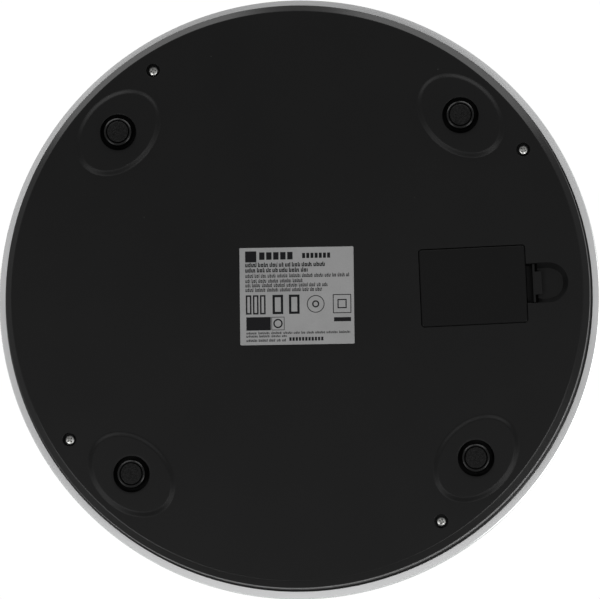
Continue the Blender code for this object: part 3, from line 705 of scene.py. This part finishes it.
def finger_scoop(bm):
    """The D-shaped hollow behind the latch tab, with a sloping wall that rounds into its floor."""
    half_turn = [math.radians(-90 + 180 * i / 32) for i in range(33)]
    start = WELL_END_X - 0.4 * MM
    levels = ((-0.2, -0.5), (-0.06, -0.02), (0.0, 0.06), (0.08, 0.2), (1.6, 2.2), (1.9, 2.4))
    sections = []
    for shrink, depth in levels:
        radius, z = SCOOP_RADIUS - shrink * MM, BASE_Z + depth * MM
        outline = [
            (SCOOP_CENTRE_X + radius * math.cos(a), DOOR_Y + radius * math.sin(a), z) for a in half_turn
        ]
        sections.append([(start, outline[0][1], z)] + outline + [(start, outline[-1][1], z)])
    loft(bm, sections)


def flared_box(bm, corner_low, corner_high, face, flare):
    """A box cutter whose mouth widens a little where it meets the face."""
    centre = [(a + b) / 2 for a, b in zip(corner_low, corner_high)]
    size = [b - a for a, b in zip(corner_low, corner_high)]
    sections = []
    for grow, z in ((flare, corner_low[2]), (flare, face - 0.01 * MM), (0.3 * flare, face + 0.5 * flare),
                    (0.0, face + flare), (0.0, corner_high[2])):
        outline = rounded_rectangle(centre, (size[0] + 2 * grow, size[1] + 2 * grow), 0.25 * MM + grow, 4)
        sections.append([(x, y, z) for x, y in outline])
    loft(bm, sections)


def make_cover(finishes):
    cover = object_from("bottom_cover_shell", tray(bmesh.new()))
    islands = bmesh.new()
    for place in FOOT_PLACES:
        oval_island(islands, place)
    inside = FLOOR_TOP - 0.5 * MM
    block(islands, (42.6 * MM, 90.8 * MM), 0.0, 15.8 * MM, (inside, BLOCK_TOP))
    over_scoop = (0.0, SCOOP_BLOCK_HALF_WIDTH, (inside, SCOOP_BLOCK_TOP))
    block(islands, (91.2 * MM, 100.8 * MM), *over_scoop)
    for place in SCREW_PLACES:
        turn(islands, [(BOSS_RADIUS, inside), (BOSS_RADIUS, BOSS_TOP)], HOLE_SIDES, place)
    boolean(cover, "UNION", islands)
    bridge = block(bmesh.new(), (90.6 * MM, 91.4 * MM), *over_scoop)
    boolean(cover, "UNION", bridge)

    holes = bmesh.new()
    for place in FOOT_PLACES:
        mouth = (FOOT_HOLE_RADIUS, PAD_FACE, FOOT_HOLE_TOP, 0.3 * MM, HOLE_SIDES)
        lipped_hole(holes, place, *mouth, dish=0.05 * MM, dish_radius=7.9 * MM)
    for place in SCREW_PLACES:
        lipped_hole(holes, place, COUNTERBORE_RADIUS, BASE_Z, COUNTERBORE_TOP, 0.18 * MM, SCREW_SIDES)
    size = (DOOR_SIZE[0] + 2 * FIT_GAP, DOOR_SIZE[1] + 2 * FIT_GAP)
    seat = []
    for grow, z in ((0.04 * MM, BASE_Z - MM), (0.04 * MM, BASE_Z - 0.01 * MM), (0.0, BASE_Z + 0.04 * MM),
                    (0.0, BASE_Z + DOOR_THICKNESS + 0.3 * MM)):
        grown = (size[0] + 2 * grow, size[1] + 2 * grow)
        outline = rounded_rectangle((DOOR_X, DOOR_Y), grown, DOOR_CORNER + FIT_GAP)
        seat.append([(x, y, z) for x, y in outline])
    loft(holes, seat)
    finger_scoop(holes)
    boolean(cover, "DIFFERENCE", holes)

    deeper = bmesh.new()
    for place in SCREW_PLACES:
        turn(deeper, [(1.5 * MM, 5.0 * MM), (1.5 * MM, 9.0 * MM)], SCREW_SIDES, place)
    pocket = [(10.4 * MM, 4.0 * MM), (10.4 * MM, POCKET_TOP)]
    turn(deeper, pocket, HOLE_SIDES, (CELL_X, DOOR_Y))
    half = LATCH_WIDTH / 2 + 0.3 * MM
    corner, opposite = (82.2 * MM, DOOR_Y - half, 2.0 * MM), (WELL_END_X, DOOR_Y + half, 9.3 * MM)
    flared_box(deeper, corner, opposite, BASE_Z, 0.1 * MM)
    for side in (-1, 1):
        heights = (BASE_Z + 0.6 * MM, BASE_Z + 2.3 * MM)
        middle = DOOR_Y + side * HOOK_OFFSET
        block(deeper, (43.2 * MM, 46.8 * MM), middle, HOOK_HALF_WIDTH + 0.4 * MM, heights)
    boolean(cover, "DIFFERENCE", deeper)

    last = bmesh.new()
    block(last, (50.2 * MM, 54.1 * MM), DOOR_Y, 3.2 * MM, (4.2 * MM, POCKET_TOP))
    block(last, (56.0 * MM, 57.2 * MM), DOOR_Y, 3.0 * MM, (POCKET_TOP - MM, BLOCK_TOP + MM))
    boolean(cover, "DIFFERENCE", last)
    slot = block(bmesh.new(), (50.6 * MM, 51.8 * MM), DOOR_Y, 3.0 * MM, (9.0 * MM, 12.0 * MM))
    boolean(cover, "DIFFERENCE", slot)
    crisp(cover)
    mounted(cover, "scale_body", finishes["black_plastic"], "black_plastic", "bottom_cover")
    cover.data.materials.append(finishes["rim_plastic"])
    for face in cover.data.polygons:
        if math.hypot(face.center.x, face.center.y) > FLAT_RADIUS + 0.02 * MM:
            face.material_index = 1


# --- Feet ---
FOOT_CUP_RADIUS = 4.95 * MM
FOOT_CUP_INNER = 4.2 * MM
FOOT_PAD_RADIUS = 3.8 * MM
CUP_RIM = 0.5 * MM
COLLAR_RADIUS = 8.0 * MM
COLLAR_LOW = 5.3 * MM
COLLAR_HIGH = 6.1 * MM
GLOSSY_BELOW = 1.2 * MM


def foot_cup_profile():
    """A cup with a rounded rim that stands round the rubber, and the collar that keeps it in the hole."""
    inner = FOOT_CUP_INNER
    profile = [(0.6 * MM, 1.7 * MM), (inner, 1.7 * MM), (inner, CUP_RIM + 0.08 * MM)]
    profile += [(inner + 0.08 * MM, CUP_RIM), (FOOT_CUP_RADIUS - 0.4 * MM, CUP_RIM)]
    profile += [(FOOT_CUP_RADIUS - 0.08 * MM, CUP_RIM + 0.2 * MM), (FOOT_CUP_RADIUS, CUP_RIM + 0.3 * MM)]
    profile += [(FOOT_CUP_RADIUS, COLLAR_LOW - 0.1 * MM), (FOOT_CUP_RADIUS + 0.1 * MM, COLLAR_LOW)]
    profile += [(COLLAR_RADIUS - 0.1 * MM, COLLAR_LOW), (COLLAR_RADIUS, COLLAR_LOW + 0.1 * MM)]
    profile += [(COLLAR_RADIUS, COLLAR_HIGH - 0.1 * MM), (COLLAR_RADIUS - 0.1 * MM, COLLAR_HIGH)]
    profile += [(2.6 * MM, COLLAR_HIGH), (2.2 * MM, 6.3 * MM), (0.6 * MM, 6.3 * MM)]
    return profile


def pad_relief(x, y):
    """Height of the wavy moulded pattern on the rubber face."""
    pitch = 1.1 * MM
    waves = math.sin(2 * math.pi * (x + y) / pitch) * math.sin(2 * math.pi * (x - y) / pitch)
    rough = noise.noise(Vector((x, y, 0.0)) / (0.55 * MM))
    rough += 0.7 * noise.noise(Vector((x, y, 0.01)) / (0.3 * MM))
    return 0.06 * MM * waves + 0.14 * MM * rough


def foot_pad(place):
    """The rubber disc, with its patterned face built as rings of points."""
    sides, rings = 72, 22
    face_radius = FOOT_PAD_RADIUS - 0.3 * MM
    sections = [[(x, y, 1.4 * MM) for x, y in ring(FOOT_PAD_RADIUS, sides)]]
    sections += [[(x, y, 0.4 * MM) for x, y in ring(FOOT_PAD_RADIUS, sides)]]
    sections += [[(x, y, 0.22 * MM) for x, y in ring(FOOT_PAD_RADIUS - 0.1 * MM, sides)]]
    for i in range(rings):
        radius = face_radius * (1 - i / rings)
        points = ring(radius, sides)
        sections.append([(x, y, 0.13 * MM + pad_relief(x + place.x, y + place.y)) for x, y in points])
    sections = [[(place.x + x, place.y + y, max(z, 0.0)) for x, y, z in section] for section in sections]
    return loft(bmesh.new(), sections)


def make_feet(finishes):
    for number, place in enumerate(FOOT_PLACES, start=1):
        turned = turn(bmesh.new(), foot_cup_profile(), HOLE_SIDES, place)
        cup = object_from(f"foot_cup_fine_{number}", turned)
        crisp(cup)
        # painted shade: the cup's faces down in the foot hole take a darker copy of the black plastic; the
        # rim below GLOSSY_BELOW takes the glossy rim plastic
        mounted(cup, "scale_body", finishes["painted_shade_plastic"], "black_plastic", f"foot_cup_{number}")
        cup.data.materials.append(finishes["rim_plastic"])
        for face in cup.data.polygons:
            face.material_index = 1 if face.center.z < GLOSSY_BELOW else 0
        pad = object_from(f"foot_rubber_{number}", foot_pad(place), crease=60)
        mounted(pad, "scale_body", finishes["rubber"], "rubber", f"foot_pad_{number}")


# --- Screws ---
HEAD_RADIUS = 1.7 * MM
HEAD_LOW = 4.4 * MM
HEAD_HIGH = 5.8 * MM
SCREW_TURNS = [math.radians(a) for a in (18, 52, 77, 33)]


def phillips(bm, turn_angle):
    """A cross-shaped recess that narrows as it goes in."""
    sections = []
    for z, arm, half in ((HEAD_LOW - MM, 1.15 * MM, 0.36 * MM), (HEAD_LOW, 1.1 * MM, 0.30 * MM),
                         (HEAD_LOW + 0.9 * MM, 0.55 * MM, 0.2 * MM)):
        spin = Matrix.Rotation(turn_angle, 2)
        sections.append([(*(spin @ Vector(point)), z) for point in cross_outline(arm, half)])
    return loft(bm, sections)


def make_screws(finishes):
    for number, (place, turn_angle) in enumerate(zip(SCREW_PLACES, SCREW_TURNS), start=1):
        profile = [(0.4 * MM, HEAD_LOW), (0.9 * MM, HEAD_LOW + 0.04 * MM), (1.3 * MM, HEAD_LOW + 0.14 * MM)]
        profile += arc((HEAD_RADIUS - 0.3 * MM, HEAD_LOW + 0.5 * MM), 0.3 * MM, -65, 0, 5)
        profile += [(HEAD_RADIUS, HEAD_HIGH - 0.1 * MM), (HEAD_RADIUS - 0.1 * MM, HEAD_HIGH)]
        profile += [(1.2 * MM, HEAD_HIGH), (1.2 * MM, 10.8 * MM), (0.1 * MM, 12.2 * MM)]
        screw = object_from(f"case_screw_fine_{number}", turn(bmesh.new(), profile, SCREW_SIDES))
        boolean(screw, "DIFFERENCE", phillips(bmesh.new(), turn_angle))
        screw.data.transform(Matrix.Translation((place.x, place.y, 0.0)))
        crisp(screw)
        mounted(screw, "scale_body", finishes["zinc_steel"], "zinc_steel", f"case_screw_{number}")


# --- Battery door, latch and cell ---
def make_door(finishes):
    centre = (DOOR_X, DOOR_Y)
    sections = []
    for inset, height in ((0.52, 0.0), (0.44, 0.02), (0.1, 0.22), (0.03, 0.28), (0.0, 0.36)):
        size = (DOOR_SIZE[0] - 2 * inset * MM, DOOR_SIZE[1] - 2 * inset * MM)
        outline = rounded_rectangle(centre, size, DOOR_CORNER - inset * MM)
        sections.append([(x, y, BASE_Z + height * MM) for x, y in outline])
    outline = rounded_rectangle(centre, DOOR_SIZE, DOOR_CORNER)
    sections.append([(x, y, BASE_Z + DOOR_THICKNESS) for x, y in outline])
    door = object_from("battery_door_fine", loft(bmesh.new(), sections))
    extras = bmesh.new()
    for side in (-1, 1):
        heights = (BASE_Z + 0.9 * MM, BASE_Z + DOOR_THICKNESS - 0.02 * MM)
        block(extras, (43.55 * MM, 46.6 * MM), DOOR_Y + side * HOOK_OFFSET, HOOK_HALF_WIDTH, heights)
    block(extras, LATCH_ROOT, DOOR_Y, LATCH_WIDTH / 2, (BASE_Z + 0.8 * MM, 7.0 * MM))
    boolean(door, "UNION", extras)
    crisp(door)
    mounted(door, "battery_door", finishes["door_plastic"], "black_plastic", "battery_door")


def side_prism(bm, outline, centre_y, width):
    """An outline of (x, z) points given a width along Y."""
    ends = (centre_y - width / 2, centre_y + width / 2)
    return loft(bm, [[(x, y, z) for x, z in outline] for y in ends])


def make_latch(finishes):
    """The folded hoop that springs, the thumb tab on its outer arm and the catch behind it."""
    arm = LATCH_ARM_X
    outer = arm + 0.8 * MM
    root, root_end = LATCH_ROOT
    hoop = [(root, 7.3 * MM), (root_end, 7.3 * MM), (83.7 * MM, 7.6 * MM), (arm - 0.3 * MM, 7.6 * MM)]
    hoop += [(arm, 7.2 * MM), (arm, BASE_Z + 0.1 * MM), (outer, BASE_Z + 0.1 * MM), (outer, 7.6 * MM)]
    hoop += [(outer - 0.6 * MM, 8.3 * MM), (83.2 * MM, 8.3 * MM), (root, 7.8 * MM)]
    latch = object_from("door_latch_fine", side_prism(bmesh.new(), hoop, DOOR_Y, LATCH_WIDTH))
    root_x, root_top = outer - 0.4 * MM, BASE_Z + 1.3 * MM
    tab = [(root_x, BASE_Z), (TAB_END_X - 0.2 * MM, BASE_Z), (TAB_END_X, BASE_Z + 0.2 * MM)]
    tab += [(TAB_END_X, BASE_Z + 0.9 * MM), (outer + 0.8 * MM, root_top), (root_x, root_top)]
    extras = side_prism(bmesh.new(), tab, DOOR_Y, TAB_WIDTH)
    catch = [(outer - 0.4 * MM, 6.2 * MM), (outer + 0.5 * MM, 6.2 * MM), (outer - 0.4 * MM, 7.0 * MM)]
    side_prism(extras, catch, DOOR_Y, 6.0 * MM)
    boolean(latch, "UNION", extras)
    crisp(latch, bevel=0.12 * MM)
    mounted(latch, "door_latch", finishes["black_plastic"], "black_plastic", "door_latch")


def make_cell(finishes):
    """The coin cell: a rounded can with a plus sign stamped in its lower face, and a raised disc above."""
    bottom, top = low("coin_cell").z, high("coin_cell").z
    radius = high("coin_cell").x - CELL_X
    profile = [(1.0 * MM, bottom + 0.06 * MM), (8.2 * MM, bottom + 0.06 * MM), (8.3 * MM, bottom)]
    profile += arc((radius - 0.5 * MM, bottom + 0.5 * MM), 0.5 * MM, -90, 0, 6)
    profile += arc((radius - 0.3 * MM, top - 0.7 * MM), 0.3 * MM, 0, 90, 4)
    profile += [(radius - 1.2 * MM, top - 0.4 * MM), (radius - 1.25 * MM, top - 0.6 * MM)]
    profile += [(radius - 1.45 * MM, top - 0.6 * MM), (radius - 1.6 * MM, top), (1.0 * MM, top)]
    place = (CELL_X, DOOR_Y)
    cell = object_from("coin_cell_fine", turn(bmesh.new(), profile, 96, place))
    outline = [(CELL_X + x, DOOR_Y + 4.6 * MM + y) for x, y in cross_outline(1.6 * MM, 0.28 * MM)]
    boolean(cell, "DIFFERENCE", prism(bmesh.new(), outline, bottom - MM, bottom + 0.12 * MM))
    crisp(cell)
    mounted(cell, "scale_body", finishes["nickel_steel"], "nickel_steel", "coin_cell")


# --- Label ---
INK_LOW = low("rating_label").z - 0.02 * MM
INK_HIGH = low("rating_label").z + 0.01 * MM
WORD_GAP = 0.55 * MM


def label_matrix():
    """From label coordinates, x to the right and y up as one reads it from below, to the frame."""
    flip = Matrix(((1, 0, 0, 0), (0, -1, 0, 0), (0, 0, 1, 0), (0, 0, 0, 1)))
    turned = Matrix.Rotation(LABEL_TURN, 4, "Z")
    return Matrix.Translation((LABEL_PLACE.x, LABEL_PLACE.y, 0.0)) @ turned @ flip


def word_lengths(total, seed):
    """Splits a line of the given length into word-like runs, the same on each run of the script."""
    lengths = []
    used, step = 0.0, seed
    while used < total:
        step += 1
        length = (1.2 + 2.9 * abs(math.sin(12.9898 * step))) * MM
        lengths.append(min(length, total - used))
        used += length + WORD_GAP
    return [length for length in lengths if length > 0.3 * MM]


# generic lines of print: (left, right, top, bottom) as shares of the label's length and width
BOLD_ROWS = ((0.05, 0.764, 0.152, 0.198), (0.05, 0.597, 0.207, 0.253))
FINE_ROWS = ((0.05, 0.96, 0.268, 0.308), (0.05, 0.55, 0.32, 0.36), (0.05, 0.77, 0.365, 0.405))
FINE_ROWS += ((0.05, 0.72, 0.412, 0.452), (0.055, 0.97, 0.864, 0.889), (0.055, 0.41, 0.896, 0.921))
FINE_ROWS += ((0.055, 0.40, 0.937, 0.966),)


def on_label(u, v):
    """Label coordinates of a point from its share u of the length, rightwards, and v of the width, down."""
    return (u - 0.5) * LABEL_SIZE[0], (0.5 - v) * LABEL_SIZE[1]


def ink_bar(bm, left, right, bottom, top):
    outline = [(left, bottom), (right, bottom), (right, top), (left, top)]
    prism(bm, outline, INK_LOW, INK_HIGH)


def ink_block(bm, u0, u1, v0, v1):
    (left, top), (right, bottom) = on_label(u0, v0), on_label(u1, v1)
    ink_bar(bm, left, right, bottom, top)


def ink_words(bm, row, bold, seed):
    """A line of text-like marks: short upright strokes grouped into words."""
    (left, top), (right, bottom) = on_label(row[0], row[2]), on_label(row[1], row[3])
    stroke, gap = (0.34 * MM, 0.2 * MM) if bold else (0.19 * MM, 0.19 * MM)
    height = top - bottom
    x = left
    for number, word in enumerate(word_lengths(right - left, seed)):
        end = x + word
        count = 0
        while x < end:
            count += 1
            tall = 1.0 if (number * 7 + count * 5) % 4 == 0 else 0.74
            ink_bar(bm, x, min(x + stroke, end), bottom, bottom + height * tall)
            if x + stroke < end:
                across = (x + stroke, min(x + stroke + gap, end))
                if count % 2:
                    ink_bar(bm, *across, bottom, bottom + 0.22 * height)
                if count % 3 == 0:
                    ink_bar(bm, *across, bottom + 0.5 * height, bottom + 0.72 * height)
            x += stroke + gap
        x = end + WORD_GAP


def ink_ring(bm, u, v, radius, line):
    profile = [(radius - line, INK_LOW), (radius, INK_LOW), (radius, INK_HIGH), (radius - line, INK_HIGH)]
    turn(bm, profile, 40, on_label(u, v), closed=True)


def ink_frame(bm, u0, u1, v0, v1, line):
    (left, top), (right, bottom) = on_label(u0, v0), on_label(u1, v1)
    ink_bar(bm, left, right, bottom, bottom + line)
    ink_bar(bm, left, right, top - line, top)
    ink_bar(bm, left, left + line, bottom + line, top - line)
    ink_bar(bm, right - line, right, bottom + line, top - line)


def make_label(finishes):
    outline = rounded_rectangle((0, 0), LABEL_SIZE, 0.4 * MM)
    bottom, top = low("rating_label").z, high("rating_label").z
    sheet = bmesh.new()
    inner = rounded_rectangle((0, 0), (LABEL_SIZE[0] - 0.1 * MM, LABEL_SIZE[1] - 0.1 * MM), 0.35 * MM)
    levels = ((inner, bottom), (outline, bottom + 0.04 * MM), (outline, top))
    loft(sheet, [[(x, y, z) for x, y in points] for points, z in levels])
    label = object_from("label_sheet", sheet)
    label.data.transform(label_matrix())
    label.data.flip_normals()
    crisp(label)
    mounted(label, "scale_body", finishes["foil_label"], "foil_label", "rating_label")

    ink = bmesh.new()
    ink_block(ink, 0.05, 0.148, 0.035, 0.148)
    for number in range(5):
        ink_block(ink, 0.173 + 0.0615 * number, 0.220 + 0.0615 * number, 0.047, 0.124)
    for number in range(7):
        ink_block(ink, 0.55 + 0.0365 * number, 0.576 + 0.0365 * number, 0.06, 0.113)
    for seed, row in enumerate(BOLD_ROWS + FINE_ROWS, start=3):
        ink_words(ink, row, row in BOLD_ROWS, seed)
    for left in (0.052, 0.114, 0.176):
        ink_frame(ink, left, left + 0.049, 0.487, 0.685, 0.55 * MM)
    for left in (0.286, 0.43):
        ink_frame(ink, left, left + 0.093, 0.487, 0.685, 0.85 * MM)
    ink_ring(ink, 0.664, 0.586, 3.2 * MM, 0.28 * MM)
    ink_ring(ink, 0.664, 0.586, 1.3 * MM, 0.5 * MM)
    ink_frame(ink, 0.815, 0.975, 0.49, 0.685, 0.28 * MM)
    ink_frame(ink, 0.855, 0.935, 0.54, 0.635, 0.4 * MM)
    ink_block(ink, 0.823, 0.972, 0.727, 0.769)
    ink_block(ink, 0.055, 0.269, 0.713, 0.85)
    ink_frame(ink, 0.275, 0.389, 0.713, 0.85, 0.2 * MM)
    ink_ring(ink, 0.332, 0.7815, 1.7 * MM, 0.5 * MM)
    for number in range(11):
        ink_block(ink, 0.43 + 0.0279 * number, 0.449 + 0.0279 * number, 0.925, 0.962)
    print_marks = object_from("label_print", ink)
    print_marks.data.transform(label_matrix())
    print_marks.data.flip_normals()
    mounted(print_marks, "scale_body", finishes["label_ink"], "black_resin")


# --- Display and keys ---
DIGIT_HEIGHT = 10.5 * MM
DIGIT_WIDTH = 5.6 * MM
DIGIT_PITCH = 8.0 * MM
STROKE = 1.05 * MM
FIRST_DIGIT_X = -18.5 * MM


def segment_outline(start, end):
    """A seven-segment bar between two points, with pointed ends."""
    start, end = Vector(start), Vector(end)
    along = (end - start).normalized()
    across = Vector((-along.y, along.x))
    gap, half = 0.12 * MM, STROKE / 2
    first, last = start + along * gap, end - along * gap
    points = [first, first + along * half + across * half, last - along * half + across * half]
    points += [last, last - along * half - across * half, first + along * half - across * half]
    return [(p.x, p.y) for p in points]


def digit_segments(left, bottom):
    """The seven bars of one digit, top bar first and clockwise, with the middle bar last."""
    right, top = left + DIGIT_WIDTH, bottom + DIGIT_HEIGHT
    middle = (bottom + top) / 2
    ends = [((left, top), (right, top)), ((right, top), (right, middle))]
    ends += [((right, middle), (right, bottom)), ((left, bottom), (right, bottom))]
    ends += [((left, bottom), (left, middle)), ((left, middle), (left, top))]
    ends += [((left, middle), (right, middle))]
    return [segment_outline(*pair) for pair in ends]


def make_display(finishes):
    corner_low, corner_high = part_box("display_module")
    size = (corner_high.x - corner_low.x, corner_high.y - corner_low.y)
    centre = (0.0, BOARD_Y)
    sections = []
    for inset, z in ((0.0, corner_low.z), (0.0, corner_high.z - 0.9 * MM), (0.0, corner_high.z - 0.35 * MM),
                     (0.25 * MM, corner_high.z - 0.1 * MM)):
        inner = (size[0] - 2 * inset, size[1] - 2 * inset)
        outline = rounded_rectangle(centre, inner, 0.5 * MM - inset / 2)
        sections.append([(x, y, z) for x, y in outline])
    panel = object_from("display_panel", loft(bmesh.new(), sections))
    crisp(panel)
    mounted(panel, "scale_body", finishes["display_glass"], "display_glass", "display_module")

    face = corner_high.z - 0.1 * MM
    lit, unlit = bmesh.new(), bmesh.new()
    bottom = BOARD_Y - DIGIT_HEIGHT / 2
    for number in range(4):
        left = FIRST_DIGIT_X + number * DIGIT_PITCH
        for bar, outline in enumerate(digit_segments(left, bottom)):
            shown = number == 3 and bar != 6
            bars, height = (lit, 0.03) if shown else (unlit, 0.015)
            prism(bars, outline, face - 0.01 * MM, face + height * MM)
    for bm, name, slot in ((lit, "digit_shown", "black_resin"), (unlit, "digits_unlit", "display_glass")):
        piece = object_from(name, bm)
        mounted(piece, "scale_body", finishes[name], slot)


def key_mark(bm, side, place):
    """A generic sign on each key: a ring for zero, and two bars for the unit change."""
    top = place.z
    if side == "right":
        profile = [(1.35 * MM, top - 0.02 * MM), (1.75 * MM, top - 0.02 * MM)]
        profile += [(1.75 * MM, top + 0.03 * MM), (1.35 * MM, top + 0.03 * MM)]
        turn(bm, profile, 48, place, closed=True)
        return bm
    for offset in (-0.75 * MM, 0.75 * MM):
        outline = rounded_rectangle((place.x, place.y + offset), (3.0 * MM, 0.5 * MM), 0.2 * MM, 4)
        prism(bm, outline, top - 0.02 * MM, top + 0.03 * MM)
    return bm


def make_keys(finishes):
    for side, place in KEY_PLACES.items():
        corner_low, corner_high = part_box(f"{side}_key")
        base, top = corner_low.z, corner_high.z
        profile = [(0.4 * MM, base), (7.4 * MM, base), (7.4 * MM, base + 0.8 * MM)]
        profile += [(KEY_RADIUS, base + 0.8 * MM)]
        profile += arc((KEY_RADIUS - 0.5 * MM, top - 0.5 * MM), 0.5 * MM, 0, 90, 6)
        face = top - 0.03 * MM
        for r in (4.6, 3.8, 3.0, 2.2, 1.4, 0.6):
            profile.append((r * MM, face - KEY_DISH * (1 - (r / 4.6) ** 2)))
        key = object_from(f"{side}_key_cap", turn(bmesh.new(), profile, HOLE_SIDES, place))
        crisp(key)
        mounted(key, f"{side}_key", finishes["key_plastic"], "key_plastic", f"{side}_key")
        sunk = Vector((place.x, place.y, face - 0.86 * KEY_DISH))
        mark = object_from(f"{side}_key_mark", key_mark(bmesh.new(), side, sunk))
        mounted(mark, f"{side}_key", finishes["label_ink"], "black_resin")


# --- Pieces kept from the CAD model ---
def finish_cad_nodes(finishes):
    """Every CAD node that still shows gets its slot's material; the record says which slot it has."""
    for part in frame["record"]["subparts"]:
        node = NODES[part["node"]]
        if node.hide_render:
            continue
        node.data.materials.clear()
        node.data.materials.append(finishes[part["material_slot"]])


PIECES = (make_platform, make_cover, make_feet, make_screws, make_door, make_latch, make_cell, make_label)
PIECES += (make_display, make_keys, finish_cad_nodes)


def main():
    finishes = make_finishes()
    make_stage()
    for make in PIECES:
        make(finishes)


main()
